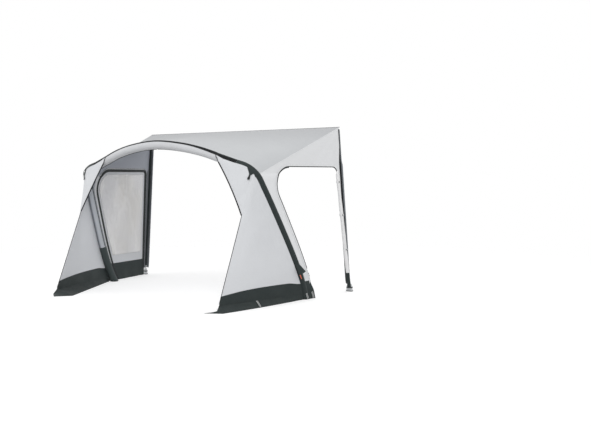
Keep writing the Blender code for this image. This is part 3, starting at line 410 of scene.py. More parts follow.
def lay(name, rows, kind, thickness=thick, offset=0.0, ring=False, loop=False, lining=None, outward=None):
    # A cloth through rows of points, with its own map in metres. A ring joins the ends of each
    # row and a loop joins the last row to the first. An inner finish colours the side away from outward with
    # painted light.
    wide, tall = len(rows), len(rows[0])
    across = runOf([sum((rows[n][m] for m in range(0, tall, 4)), Vector()) / len(range(0, tall, 4))
                    for n in range(wide)])
    down = runOf(rows[wide // 2])
    keepWide, keepTall = wide - (1 if loop else 0), tall - (1 if ring else 0)
    points = [rows[n][m] for n in range(keepWide) for m in range(keepTall)]
    faces, spots = [], []
    for n in range(wide - 1):
        for m in range(tall - 1):
            ns, ms = (n, n + 1, n + 1, n), (m, m, m + 1, m + 1)
            faces.append([(a % keepWide) * keepTall + b % keepTall for a, b in zip(ns, ms)])
            spots += [(across[a], down[b]) for a, b in zip(ns, ms)]
    mesh = bpy.data.meshes.new(name)
    mesh.from_pydata(points, [], faces)
    layer = mesh.uv_layers.new(name="cloth")
    for corner, spot in zip(layer.data, spots):
        corner.uv = spot
    mesh.update()
    made = put(mesh, name, kind)
    shell = made.modifiers.new("thickness", "SOLIDIFY")
    if lining:
        if sum(poly.normal.dot(outward) for poly in mesh.polygons) < 0:
            mesh.flip_normals()
        mesh.materials.append(finish[lining])
        shell.material_offset = 1
    shell.thickness, shell.offset = thickness, offset
    shell.use_quality_normals = True
    return plain(made)


def flatArea(rows):
    area = 0.0
    for a, b in zip(rows, rows[1:]):
        for n in range(len(a) - 1):
            area += ((a[n + 1] - a[n]).cross(b[n] - a[n])).length / 2
            area += ((a[n + 1] - b[n + 1]).cross(b[n] - b[n + 1])).length / 2
    return area


leastShare = 0.301


def declare(made, rows):
    # The flat size is the net's longest row one way and its longest the other, and its area is the
    # net's own, but not under the least share of that rectangle: this raises the walls' and the
    # gussets' area above the true one. The result is not kept.
    wide = max(runOf([row[m] for row in rows])[-1] for m in range(0, len(rows[0]), 3))
    tall = max(runOf(row)[-1] for row in rows)
    max(flatArea(rows), leastShare * wide * tall)
    return made


def sheet(name, rows, kind, rests, body="canopy", replaced=(), held="stretched", **how):
    made = lay(name, rows, kind, **how)
    declare(made, rows)
    return own(made, body, replaced)


def drawIn(rows, low=0.0, high=0.0):  # draws the first and the last row back by a distance
    made = [list(row) for row in rows]
    for edge, near, amount in ((0, 1, low), (-1, -2, high)):
        made[edge] = [toward(a, b, amount) for a, b in zip(made[edge], made[near])]
    return made


def smoothLine(points, count):
    # The points again, evenly spaced along a smooth curve through them.
    line = [points[0] * 2 - points[1]] + list(points) + [points[-1] * 2 - points[-2]]
    fine = []
    for k in range(len(points) - 1):
        fine += [smoothSpan(line[k:k + 4], n / 8) for n in range(8)]
    fine.append(points[-1])
    return evenly(fine, count)


def evenly(points, count):
    runs = runOf(points)
    made, n = [], 0
    for goal in steps(0.0, runs[-1], count - 1):
        while n < len(points) - 2 and runs[n + 1] < goal:
            n += 1
        t = (goal - runs[n]) / max(runs[n + 1] - runs[n], 1e-9)
        made.append(points[n].lerp(points[n + 1], min(t, 1.0)))
    return made


def sweep(name, points, profile, kind, faces=Vector((0.31, 0.22, 0.92)), closed=False):
    # A profile of (side, up) pairs carried along a line of points. faces gives the up direction,
    # one for all points or one for each.
    rings = []
    for n, point in enumerate(points):
        a = points[n - 1] if n or closed else points[0]
        b = points[(n + 1) % len(points)] if n < len(points) - 1 or closed else points[-1]
        ahead = (b - a).normalized()
        up = faces if isinstance(faces, Vector) else faces[n]
        side = ahead.cross(up).normalized()
        up = side.cross(ahead)
        rings.append([point + side * x + up * y for x, y in profile])
    tall = len(profile)
    verts = [spot for ring in rings for spot in ring]
    quads = []
    for n in range(len(rings) if closed else len(rings) - 1):
        m = (n + 1) % len(rings)
        quads += [(n * tall + k, n * tall + (k + 1) % tall, m * tall + (k + 1) % tall, m * tall + k)
                  for k in range(tall)]
    if not closed:
        quads += [tuple(reversed(range(tall))), tuple((len(rings) - 1) * tall + k for k in range(tall))]
    mesh = bpy.data.meshes.new(name)
    mesh.from_pydata(verts, [], quads)
    layer = mesh.uv_layers.new(name="cloth")
    runs, girth = runOf(points), runOf([Vector((x, y, 0)) for x, y in profile])
    for poly in mesh.polygons:
        for corner, vert in zip(poly.loop_indices, poly.vertices):
            layer.data[corner].uv = (runs[min(vert // tall, len(runs) - 1)], girth[vert % tall])
    work = bmesh.new()
    work.from_mesh(mesh)
    bmesh.ops.recalc_face_normals(work, faces=work.faces)
    work.to_mesh(mesh)
    work.free()
    return plain(put(mesh, name, kind))


def ringOf(radius, count=12):
    return [(radius * math.cos(2 * math.pi * n / count), radius * math.sin(2 * math.pi * n / count))
            for n in range(count)]


def stripOf(width, deep):
    # A flat strip's section with its corners cut off.
    w, d = width / 2, deep / 2
    c = min(w, d) * 0.3
    return [(w, -d + c), (w, d - c), (w - c, d), (-w + c, d), (-w, d - c), (-w, -d + c),
            (-w + c, -d), (w - c, -d)]


def cushionRing(wide, deep, count, soft=(0.30, 0.30)):  # a rectangle with round corners, as (across, up)
    turns = [2 * math.pi * (k + 0.5) / count for k in range(count)]
    return [(wide * math.copysign(abs(math.cos(v)) ** soft[0], math.cos(v)),
             deep * math.copysign(abs(math.sin(v)) ** soft[1], math.sin(v))) for v in turns]


def meshOf(work, name):
    mesh = bpy.data.meshes.new(name)
    work.to_mesh(mesh)
    work.free()
    return mesh


def loft(name, rings, kind, angle=38):  # a closed skin through rings of points, flat at both ends
    work = bmesh.new()
    loops = [[work.verts.new(point) for point in ring] for ring in rings]
    for p, q in zip(loops, loops[1:]):
        for k in range(len(p)):
            m = (k + 1) % len(p)
            work.faces.new((p[k], q[k], q[m], p[m]))
    work.faces.new(loops[0])
    work.faces.new(list(reversed(loops[-1])))
    bmesh.ops.recalc_face_normals(work, faces=work.faces)
    return plain(put(meshOf(work, name), name, kind), angle)


def growTree(name, inputs, parts, joins):
    # A tree from its inputs, its nodes and its links, which are written as "node.socket > node.socket"
    tree = bpy.data.node_groups.new(name, "GeometryNodeTree")
    tree.interface.new_socket("Geometry", in_out="INPUT", socket_type="NodeSocketGeometry")
    for title, kind in {**inputs, "Finish": "Material"}.items():
        tree.interface.new_socket(title, in_out="INPUT", socket_type="NodeSocket" + kind)
    tree.interface.new_socket("Geometry", in_out="OUTPUT", socket_type="NodeSocketGeometry")
    made = {"in": tree.nodes.new("NodeGroupInput"), "out": tree.nodes.new("NodeGroupOutput")}
    ends = {"copies": ("GeometryNodeInstanceOnPoints", {}, {}),
            "real": ("GeometryNodeRealizeInstances", {}, {}),
            "paint": ("GeometryNodeSetMaterial", {}, {})}
    for label, (kind, settings, values) in {**parts, **ends}.items():
        made[label] = tree.nodes.new(kind)
        for key, value in settings.items():
            setattr(made[label], key, value)
        for key, value in values.items():
            made[label].inputs[key].default_value = value
    joins += """
        copies.Instances > real.Geometry
        real.Geometry > paint.Geometry
        in.Finish > paint.Material
        paint.Geometry > out.Geometry"""
    for line in joins.strip().splitlines():
        (first, out), (last, into) = [end.strip().split(".") for end in line.split(">")]
        out, into = [int(key) if key.isdigit() else key for key in (out, into)]
        tree.links.new(made[first].outputs[out], made[last].inputs[into])
    return tree


def grow(name, lines, kind, tree, **values):  # runs a tree on lines of points
    verts, edges = [], []
    for line in lines:
        edges += [(len(verts) + n, len(verts) + n + 1) for n in range(len(line) - 1)]
        verts += line
    mesh = bpy.data.meshes.new("rows")
    mesh.from_pydata(verts, edges, [])
    made = put(mesh, name, kind)
    rows = made.modifiers.new("rows", "NODES")
    rows.node_group = tree
    values["Finish"] = finish[kind]
    for item in tree.interface.items_tree:
        if item.in_out == "INPUT" and item.name in values:
            rows[item.identifier] = values[item.name]
    return plain(made, 60)


# Copies at an even pitch along lines of points, turned along them: what stitches and zip teeth share
pitched = {"curve": ("GeometryNodeMeshToCurve", {}, {}),
           "even": ("GeometryNodeResampleCurve", {"mode": "LENGTH"}, {}),
           "spots": ("GeometryNodeCurveToPoints", {"mode": "EVALUATED"}, {}),
           "turn": ("FunctionNodeAlignRotationToVector", {"axis": "Z"}, {})}
pitchedJoins = """
        in.Geometry > curve.Mesh
        curve.Curve > even.Curve
        in.Pitch > even.Length
        even.Curve > spots.Curve
        spots.Points > copies.Points
        spots.Tangent > turn.Vector
        turn.Rotation > copies.Rotation"""

# Stitches: short round threads, one tree for all of them
stitchRow = growTree("stitchRow", {"Pitch": "Float", "Thread": "Float", "Seed": "Int"}, {
    **pitched,
    "thread": ("GeometryNodeMeshCylinder", {}, {"Vertices": 5}),
    "long": ("ShaderNodeMath", {"operation": "MULTIPLY"}, {1: 0.66}),
    "vary": ("FunctionNodeRandomValue", {"data_type": "FLOAT"}, {2: 0.86, 3: 1.1})}, pitchedJoins + """
        in.Thread > thread.Radius
        in.Pitch > long.0
        long.0 > thread.Depth
        thread.Mesh > copies.Instance
        in.Seed > vary.Seed
        vary.1 > copies.Scale""")
seams = {}


def seam(body, points, kind="thread"):
    seams.setdefault((body, kind), []).append([Vector(p) for p in points])


# Roof: from the beam up to the rail, sagging a little, with pulls running out of its corners
roofTurn = band["rear"] + band["seam"]
shoulder = station["shoulder"]
roof = {"columns": 4, "rows": 44, "inset": 0.0013, "pull": 0.006, "bead": 0.0035,
        "stitches": (0.022, 0.028), "sideStitch": 0.010}
roofStations = stations(-shoulder, shoulder, roof["columns"])
roofFront = [along(s, clothRadius, roofTurn) for s in roofStations]
roofRuns = runOf(roofFront)
hemReach = 2 * roof["bead"] + gap


def roofSpot(start, share, reach):
    back = place(mix(-stance["railHalf"], stance["railHalf"], share), 0.0, stance["railHeight"])
    whole = wallY - start.y
    t = (whole - reach) / whole
    point = mix(start, back, t)
    fall = cloth["roofSag"] * 4 * t * (1 - t) * math.sin(math.pi * share)
    side = min(share, 1 - share)
    fan = math.atan2(t * 1.5, side * 3.6 + 0.02)
    near = math.exp(-side * 3.2) * (1 - math.exp(-12 * math.hypot(t, side * 2)))
    ripple = math.sin(fan * 21.0 + 3 * noise.noise(Vector((fan * 3, share * 2, 4.2))))
    broad = noise.noise(Vector((share * 5.0, t * 1.6, 7.1))) * math.sin(math.pi * share)
    edge = min(t, 1 - t, share * 4, (1 - share) * 4)
    point.z -= fall + roof["pull"] * ease(edge * 7) * (0.45 * ripple * near + 0.8 * broad)
    return point


rows = []
for start, run in zip(roofFront, roofRuns):
    share, whole = run / roofRuns[-1], wallY - start.y
    rows.append([roofSpot(start, share, reach)
                 for reach in steps(whole - roof["inset"], hemReach, roof["rows"])])
side = Vector((roof["inset"], 0, 0))
rows[0] = [point + side for point in rows[0]]
rows[-1] = [point - side for point in rows[-1]]
sheet("roof_panel", rows, "roof", ["crown_sleeve", "rail_bead"], replaced=["roof_canopy"],
      lining="wallInnerShade", outward=Vector((0, 0, 1)))
for back in roof["stitches"]:  # the rail's hem
    seam("canopy", [roofSpot(start, run / roofRuns[-1], back + hemReach) + Vector((0, 0, threadLift))
                    for start, run in zip(roofFront, roofRuns)])
for row, way in ((rows[0], 1), (rows[-1], -1)):
    seam("canopy", [point + Vector((way * roof["sideStitch"], 0, threadLift)) for point in row])
rail = [place(x, roof["bead"], stance["railHeight"])
        for x in steps(-stance["railHalf"], stance["railHalf"], 60)]
own(sweep("rail_keder", rail, ringOf(roof["bead"], 16), "piping"), replaced=["rail_bead"])

# Air beam: the tube, the sleeves that carry it and their dark cuffs
tubing = {"sides": 40, "density": 5, "pucker": 0.0012, "cuffRise": 0.19, "bladderSides": 28}
cuffTop = at("cuff") - tubing["cuffRise"]


def beamTube(first, last, floor):
    rows = []
    spots = stations(min(first, last), max(first, last), tubing["density"])
    for n, s in enumerate(spots):
        shift = gap if n == 0 else -gap if n == len(spots) - 1 else 0.0
        ring = []
        for k in range(tubing["sides"] + 1):
            turn = 2 * math.pi * k / tubing["sides"]
            ends = min(n, len(spots) - 1 - n) / 6
            inside = max(0.0, -math.cos(turn)) * hump(abs(s), station["bend"] + 2.5, 5.5)
            wrinkle = (math.sin(s * 7.1) + 0.6 * math.sin(s * 12.7 + 1.3 * math.sin(turn))) * inside
            soft = noise.noise(Vector((math.cos(turn) * 1.3, math.sin(turn) * 1.3, s * 0.8)))
            radius = sleeveOuter - tubing["pucker"] * ease(ends) * (0.5 + 0.45 * wrinkle + 0.35 * soft)
            ring.append(toFloor(s, radius, turn, floor) if floor else along(s, radius, turn, shift))
        rows.append(ring)
    return rows


for name, first, last, kind, low in (
        ("crown_sleeve", at("bend", -1), at("bend"), "sleeve", None),
        ("left_leg_sleeve", at("bend", -1), -cuffTop, "legSleeve", None),
        ("right_leg_sleeve", at("bend"), cuffTop, "legSleeve", None),
        ("left_beam_cuff", -cuffTop, at("foot", -1), "cuff", beam["plate"]),
        ("right_beam_cuff", cuffTop, at("foot"), "cuff", beam["plate"])):
    sheet(name + "_cloth", beamTube(first, last, low), kind, ["air_bladder"], replaced=[name],
          thickness=beam["sleeve"], offset=-1.0, ring=True)
rings = [[toFloor(s, beam["bladder"], 2 * math.pi * n / tubing["bladderSides"], beam["plate"])
          for n in range(tubing["bladderSides"])]
         for s in stations(-lastStation, lastStation, 4)]
own(loft("inflated_tube", rings, "bladder"), replaced=["air_bladder"])
print("roof and beam laid")

# Piping along the crown, where the roof's front edge meets the beam
pipeRing = sleeveOuter + gap + cloth["piping"]
pipeTurn = band["rear"] - (cloth["piping"] + gap) / clothRadius
edge = [along(s, pipeRing, pipeTurn) for s in stations(-at("wingTop"), at("wingTop"), 4)]
own(sweep("crown_edge_piping", edge, ringOf(cloth["piping"] * 1.2), "piping"), replaced=["crown_piping"])

# Dark bands down the outside of the beam
banding = {"wave": 0.0006, "columns": 14, "stitch": 0.007, "stitchLift": 0.0008}
for side, hand in hands:
    rows = []
    spots = stations(station["wingTop"], station["skirt"], 4)
    for s in spots:
        wave = banding["wave"] * noise.noise(Vector((s * 0.9, side * 3.0, 2.0)))
        rows.append([along(s * side, clothRadius + wave + banding["wave"] * math.sin(math.pi * k / 14), turn)
                     for k, turn in enumerate(steps(bandFront(s), band["rear"], banding["columns"]))])
    sheet(hand + "_outer_band_cloth", drawIn(rows, high=gap), "dark", [hand + "_beam_cuff_cloth"],
          replaced=[hand + "_outer_band"])
    inward = banding["stitch"] / clothRadius
    for rear in (True, False):
        seam("canopy", [along(s * side, clothRadius + thick * 0.5 + banding["stitchLift"],
                              band["rear"] - inward if rear else bandFront(s) + inward)
                        for s in spots[1:-1]], "darkThread")

# A dark facing laid over the beam's front edge, wider from the crown out to the shoulders
facing = {"turns": [(0, 15), (3, 18), (4.2, 28), (5, 31), (7, 36), (8, 50), (9, 50), (11, 45), (13, 50),
                    (15, 66)],
          "thick": 0.0012, "split": 9.5, "start": math.radians(5.0), "bandStart": math.radians(-9.0),
          "lift": 0.0014, "bandLift": 0.0036, "bulge": {"crown": 0.0030, "left": 0.018, "right": 0.0030},
          "seamTurn": math.radians(-175.0), "seamLift": 0.0030, "seamRadius": 0.0044}


def facingTurn(s):
    for (a, low), (b, high) in zip(facing["turns"], facing["turns"][1:]):
        if s <= b:
            return -math.radians(mix(low, high, (s - a) / (b - a)))
    return -math.radians(facing["turns"][-1][1])


for part, first, last, kind in (("crown", -facing["split"], facing["split"], "facing"),
                                ("left", -shoulder, -facing["split"] - 0.02, "dark"),
                                ("right", facing["split"] + 0.02, shoulder, "dark")):
    rows = []
    for s in stations(first, last, 4):
        onBand = ease((abs(s) - station["wingTop"] + 1.2) / 1.2)
        swell = facing["bulge"][part] * bulgeAt(s)
        radius = mix(sleeveOuter + facing["lift"], clothRadius + facing["bandLift"] + swell, onBand)
        start = mix(facing["start"], facing["bandStart"], ease((abs(s) - station["wingTop"] - 0.1) / 0.6))
        rows.append([along(s, radius, turn) for turn in steps(start, facingTurn(abs(s)), 8)])
    sheet(part + "_facing_cloth", rows, kind, ["crown_sleeve_cloth"], thickness=facing["thick"])
for side, hand in hands:  # the corded seam down the beam's inner side
    line = [along(s * side, sleeveOuter + facing["seamLift"], facing["seamTurn"])
            for s in stations(0.05, cuffTop - 0.1, 4)]
    own(sweep(hand + "_beam_inner_seam", line, ringOf(facing["seamRadius"], 10), "webbing"))

# Side walls, ruled level from the leg to the rear edge: a point is its reach and its height
wallTurn = roofTurn
legSpots = []
for s in stations(shoulder, lastStation, 4):
    point = toFloor(s, clothRadius, wallTurn, 0.0)
    legSpots.append((wallY - point.y, point.z, point.x))
seamTop = legSpots[0]


def wallEdge(height):
    if height >= seamTop[1]:
        t = (height - seamTop[1]) / (stance["railHeight"] - seamTop[1])
        return between(seamTop[::2], (0.0, stance["railHalf"]), t)
    for upper, lower in zip(legSpots, legSpots[1:]):
        if height >= lower[1]:
            t = (height - lower[1]) / (upper[1] - lower[1])
            return between(lower[::2], upper[::2], t)
    return legSpots[-1][::2]


def rearX(height):
    return mix(stance["rearFootHalf"], stance["railHalf"], height / stance["railHeight"])


def wallX(reach, height):
    edgeReach, edgeX = wallEdge(height)
    return rearX(height) if edgeReach < 1e-6 else mix(rearX(height), edgeX, reach / edgeReach)


def onWall(side, reach, height, out=0.0):
    return place(side * (wallX(reach, height) + out), reach, height)


rearLean = math.atan((door["rearTop"] - door["rearFoot"]) / door["top"])
noseCentre = (door["frontReach"] + math.tan(door["frontLean"]) * (door["top"] - door["nose"])
              - door["nose"] / math.cos(door["frontLean"]), door["top"] - door["nose"])
cornerCentre = (mix(door["rearFoot"], door["rearTop"], (door["top"] - door["corner"]) / door["top"])
                + door["corner"] / math.cos(rearLean), door["top"] - door["corner"])


def doorSpot(piece, t, inset=0.0, frontFoot=0.0, rearFoot=0.0):
    # On the door's outline, drawn in by an inset: front edge, nose, top, rear corner, rear edge.
    if piece in (1, 3):
        middle, radius = ((noseCentre, door["nose"]), (cornerCentre, door["corner"]))[piece // 2]
        first, last = ((-door["frontLean"], math.pi / 2), (math.pi / 2, math.pi - rearLean))[piece // 2]
        turn = mix(first, last, t)
        out = radius - inset
        return middle[0] + out * math.cos(turn), middle[1] + out * math.sin(turn)
    noseFoot, noseTop = doorSpot(1, 0.0, inset), doorSpot(1, 1.0, inset)
    cornerTop, cornerFoot = doorSpot(3, 0.0, inset), doorSpot(3, 1.0, inset)
    if piece == 0:
        foot = noseFoot[0] - math.tan(door["frontLean"]) * (noseFoot[1] - frontFoot)
        return between((foot, frontFoot), noseFoot, t)
    if piece == 2:
        return between(noseTop, cornerTop, t)
    foot = cornerFoot[0] - math.tan(rearLean) * (cornerFoot[1] - rearFoot)
    return between(cornerFoot, (foot, rearFoot), t)


def doorSpan(height, inset):
    noseFoot, cornerFoot = doorSpot(1, 0.0, inset), doorSpot(3, 1.0, inset)
    if height <= noseFoot[1]:
        ahead = noseFoot[0] - math.tan(door["frontLean"]) * (noseFoot[1] - height)
    else:
        ahead = noseCentre[0] + math.sqrt(max((door["nose"] - inset) ** 2
                                              - (height - noseCentre[1]) ** 2, 0.0))
    if height <= cornerFoot[1]:
        behind = cornerFoot[0] - math.tan(rearLean) * (cornerFoot[1] - height)
    else:
        behind = cornerCentre[0] - math.sqrt(max((door["corner"] - inset) ** 2
                                                 - (height - cornerCentre[1]) ** 2, 0.0))
    return ahead, behind


rearReach = edgeBar["depth"] + gap
wallRearFoot = edgeBar["footHeight"] + 0.012
skirtTop = along(at("skirt"), clothRadius, wallTurn).z
lineStep = 0.03


def doorLengths(frontFoot, rearFoot):
    made = [math.dist(*(doorSpot(piece, t, 0.0, frontFoot, rearFoot) for t in (0.0, 1.0)))
            for piece in range(5)]
    made[1] = (math.pi / 2 + door["frontLean"]) * door["nose"]
    made[3] = (math.pi / 2 - rearLean) * door["corner"]
    return made


def doorLine(inset, frontFoot, rearFoot, fixed):
    # The outline from the front foot over the top to the rear foot, as (reach, height) points,
    # with as many points to a stretch as its fixed length asks for.
    made = []
    for piece, length in enumerate(fixed):
        count = max(2, round(length / (lineStep if piece in (0, 2, 4) else lineStep * 0.5)))
        made += [doorSpot(piece, n / count, inset, frontFoot, rearFoot)
                 for n in range(0 if piece == 0 else 1, count + 1)]
    return made


lengths = doorLengths(skirtTop, wallRearFoot)
ends = [sum(lengths[:n]) for n in range(6)]


def doorAt(run):
    for piece in range(5):
        if run <= ends[piece + 1] + 1e-9:
            return piece, min(max((run - ends[piece]) / lengths[piece], 0.0), 1.0)
    return 4, 1.0


def flatEven(points, count):
    made = evenly([Vector((*point, 0)) for point in points], count)
    return [(point.x, point.y) for point in made]


lowest = next(n for n, spot in enumerate(legSpots) if spot[1] <= skirtTop + 1e-6)
upLeg = flatEven([spot[:2] for spot in reversed(legSpots[:lowest + 1])], 70)
seamBack = 1 - rearReach / seamTop[0]
alongSeam = [between(seamTop[:2], (0.0, stance["railHeight"]), t * seamBack) for t in steps(0, 1, 60)]
downRear = [(rearReach, height) for height in steps(alongSeam[-1][1], wallRearFoot, 70)]
border = upLeg + alongSeam[1:] + downRear[1:]
marks = [0.0, ends[1] + 0.5 * lengths[1], ends[3] + 0.5 * lengths[3], ends[5]]
bias = (lambda s: 1 - (1 - s) ** 1.45, lambda s: mix(s, (1 - math.cos(math.pi * s)) / 2, 0.7), lambda s: s)
inner = []
for stretch, count in ((0, 69), (1, 60), (2, 70)):
    inner += [doorAt(mix(marks[stretch], marks[stretch + 1], bias[stretch](n / count)))
              for n in range(0 if stretch == 0 else 1, count + 1)]
zipOut = door["zip"] + 2 * gap
walls = {"across": 14, "fold": 0.0045, "inset": 0.0013, "stitch": 0.008, "zipStitch": 0.016,
         "seam": 0.0024}


def wallFold(side, reach, height, t):
    # Soft slack between the door and the wall's border, and pulls under the rail's corner.
    soft = noise.noise(Vector((reach * 3.1, height * 1.5, side * 5.0)))
    fan = math.sin(math.atan2(2.42 - height, reach + 0.05) * 26.0 + side)
    pull = fan * math.exp(-1.6 * math.hypot(2.4 - height, reach * 0.8))
    return walls["fold"] * math.sin(math.pi * t) * (0.8 * soft + 0.7 * pull)


for side, hand in hands:
    rows = []
    for n, (outer, (piece, t)) in enumerate(zip(border, inner)):
        near = doorSpot(piece, t, -zipOut, skirtTop, wallRearFoot)
        if n >= len(upLeg) - 1:
            outer = between(outer, near, walls["inset"] / math.dist(outer, near))
        row = []
        for t in steps(0.0, 1.0, walls["across"]):
            spot = between(outer, near, t)
            row.append(onWall(side, *spot, wallFold(side, *spot, t)))
        rows.append(row)
    rows = drawIn(rows, gap)
    out = Vector((side, 0, 0))
    sheet(hand + "_wall_cloth", rows, "light", ["roof_panel"], replaced=[hand + "_side_wall"],
          lining="wallInnerShade", outward=out)
    out *= threadLift
    seam("canopy", [toward(row[0], row[1], walls["stitch"]) + out for row in rows[3:-1]])
    seam("canopy", [toward(row[-1], row[-2], walls["zipStitch"]) + out for row in rows])
    # A corded seam closes the corner between the roof and the wall
    line = [mix(along(shoulder * side, clothRadius, roofTurn),
                place(side * stance["railHalf"], 0.0, stance["railHeight"]), t)
            for t in steps(0.004, 0.993, 60)]
    own(sweep(hand + "_roof_seam", line, ringOf(walls["seam"], 10), "light"))

# Zips round both doorways: a coil with its tape, and teeth laid along it
zips = {"tape": 0.026, "tapeThick": 0.0008, "pitch": 0.0046, "tooth": 0.0034, "innerTape": 0.046,
        "tapeLift": 0.0012, "guardLift": 0.0040, "innerLift": 0.0062, "doorLift": 0.0010,
        "guard": {"left": (0.044, 0.034), "right": (0.013, 0.004)}}
tapeOut = thick / 2 + zips["tapeThick"] * 0.9
zipTeeth = growTree("zipTeeth", {"Pitch": "Float", "Tooth": "Float"}, {
    **pitched,
    "tooth": ("GeometryNodeMeshUVSphere", {}, {"Segments": 6, "Rings": 4}),
    "flat": ("GeometryNodeTransform", {}, {"Scale": (1.0, 1.0, 0.42)})}, pitchedJoins + """
        in.Tooth > tooth.Radius
        tooth.Mesh > flat.Geometry
        flat.Geometry > copies.Instance""")
zipLengths = doorLengths(hemLift + door["zip"], wallRearFoot)


def tapeOn(name, side, spots, out, width, kind, body="canopy"):  # a flat tape laid on a wall's face
    line = [onWall(side, *spot, out=out) for spot in spots]
    own(sweep(name, line, stripOf(width, zips["tapeThick"]), kind, Vector((side, 0, 0.07))), body)


for side, hand in hands:
    line = [onWall(side, *spot) for spot in doorLine(0.0, hemLift + door["zip"], wallRearFoot, zipLengths)]
    own(sweep(hand + "_zip_coil", line, ringOf(door["zip"] * 0.62, 8), "coil"),
        replaced=[hand + "_door_zip"])
    own(grow(hand + "_zip_teeth", [line], "coil", zipTeeth, Pitch=zips["pitch"], Tooth=zips["tooth"]))
    spots = doorLine(-door["zip"] * 0.4 - zips["tape"] / 2, hemLift + 0.004, wallRearFoot, zipLengths)
    tapeOn(hand + "_zip_tape", side, spots, tapeOut + zips["tapeLift"], zips["tape"], "light")
    guard, inset = zips["guard"][hand]  # the flap over the coil, inside
    spots = doorLine(inset, hemLift + 0.012, wallRearFoot, zipLengths)
    tapeOn(hand + "_zip_guard", side, spots, -tapeOut - zips["guardLift"], guard, "webbing")
spots = [doorSpot(0, t, 0.010) for t in steps(0.30, 1, 40)]
spots += [doorSpot(1, t, 0.010) for t in steps(0.04, 1, 14)]
tapeOn("right_front_binding", 1, spots, -thick / 2 - zips["guardLift"], zips["tape"], "webbing")
spots = [doorSpot(0, t, -0.010, skirtTop + 0.02) for t in steps(0, 1, 60)]
spots += [doorSpot(1, t, -0.010) for t in steps(0.04, 0.5, 12)]
for side, hand in hands:  # light tape inside, between the beam and the door
    tapeOn(hand + "_inner_tape", side, spots, -thick / 2 - zips["innerLift"], zips["innerTape"], "light")

# Dark margins down the walls' rear edges, on both faces
margin = {"reach": 0.070, "inside": 0.130, "narrow": 0.042, "thick": 0.0010, "lift": 0.0014,
          "start": 0.0008, "foot": 0.004, "top": 2.366, "rows": 90, "columns": 6,
          # where it slims down inside and then on both faces: from a height, over a height
          "slim": (1.70, 0.14), "slimmer": (1.84, 0.3)}
for side, hand in hands:
    for part, face, clear, kind in (("out", 1, 0.0285, "facing"), ("in", -1, 0.004, "pad")):
        rows = []
        for height in steps(wallRearFoot + margin["foot"], margin["top"], margin["rows"]):
            near = doorSpan(min(height, door["top"] - door["corner"]), 0.0)[1] - clear
            slim, slimmer = [ease((height - low) / tall) for low, tall in (margin["slim"], margin["slimmer"])]
            wide = margin["reach"] if face > 0 else mix(margin["inside"], margin["reach"], slim)
            wide = min(mix(wide, margin["narrow"], slimmer), near)
            rows.append([onWall(side, reach, height, face * (thick / 2 + margin["lift"]))
                         for reach in steps(rearReach + margin["start"], wide, margin["columns"])])
        sheet(f"{hand}_rear_margin_{part}", rows, kind, [hand + "_wall_cloth"], thickness=margin["thick"])
print("walls and zips laid")

# Left door: a light border round a clear window, over its own dark skirt
leftDoor = {"border": 10, "wave": 0.003, "stitches": (0.006, 0.012), "sill": 30, "skirtColumns": 40,
            "skirtRows": 16, "hang": 0.004, "skirtStitches": (0.010, -0.010, -0.018)}


def doorWave(reach, height, t):
    soft = noise.noise(Vector((reach * 4.0, height * 1.7, 9.0)))
    return leftDoor["wave"] * math.sin(math.pi * t) * soft


def doorRing(inset, foot):
    count = leftDoor["sill"]
    line = doorLine(inset, foot, foot, lengths)
    sill = [(mix(line[-1][0], line[0][0], n / count), foot) for n in range(1, count)]
    return line + sill + [line[0]]


edges = (zipOut, door["skirt"], 1), (door["margin"], door["windowBottom"], -1)
rows = []
for a, b in zip(*(doorRing(inset, foot) for inset, foot, way in edges)):
    row = []
    for t in steps(0.0, 1.0, leftDoor["border"]):
        spot = between(a, b, t)
        row.append(onWall(-1, *spot, doorWave(*spot, t)))
    rows.append(row)
sheet("left_door_border", rows, "border", ["left_zip_coil"], "left_door", ["left_door_panel"], loop=True)
for back in leftDoor["stitches"]:
    for inset, foot, way in edges:
        seam("left_door", [onWall(-1, *spot, out=threadLift + 0.0006)
                           for spot in doorRing(inset + way * back, foot + way * back)])
spots = doorRing(zipOut + zips["tape"] * 0.30, door["skirt"] + 0.005)[:-leftDoor["sill"]]
tapeOn("left_door_tape", -1, spots, tapeOut + zips["doorLift"], zips["tape"] * 0.6, "light", "left_door")

# The window's film, creased where it has been folded away
filmInset = door["margin"] - door["lap"]
filmTop = door["top"] - filmInset
filmOut = -(thick + door["film"]) / 2 - 4 * gap
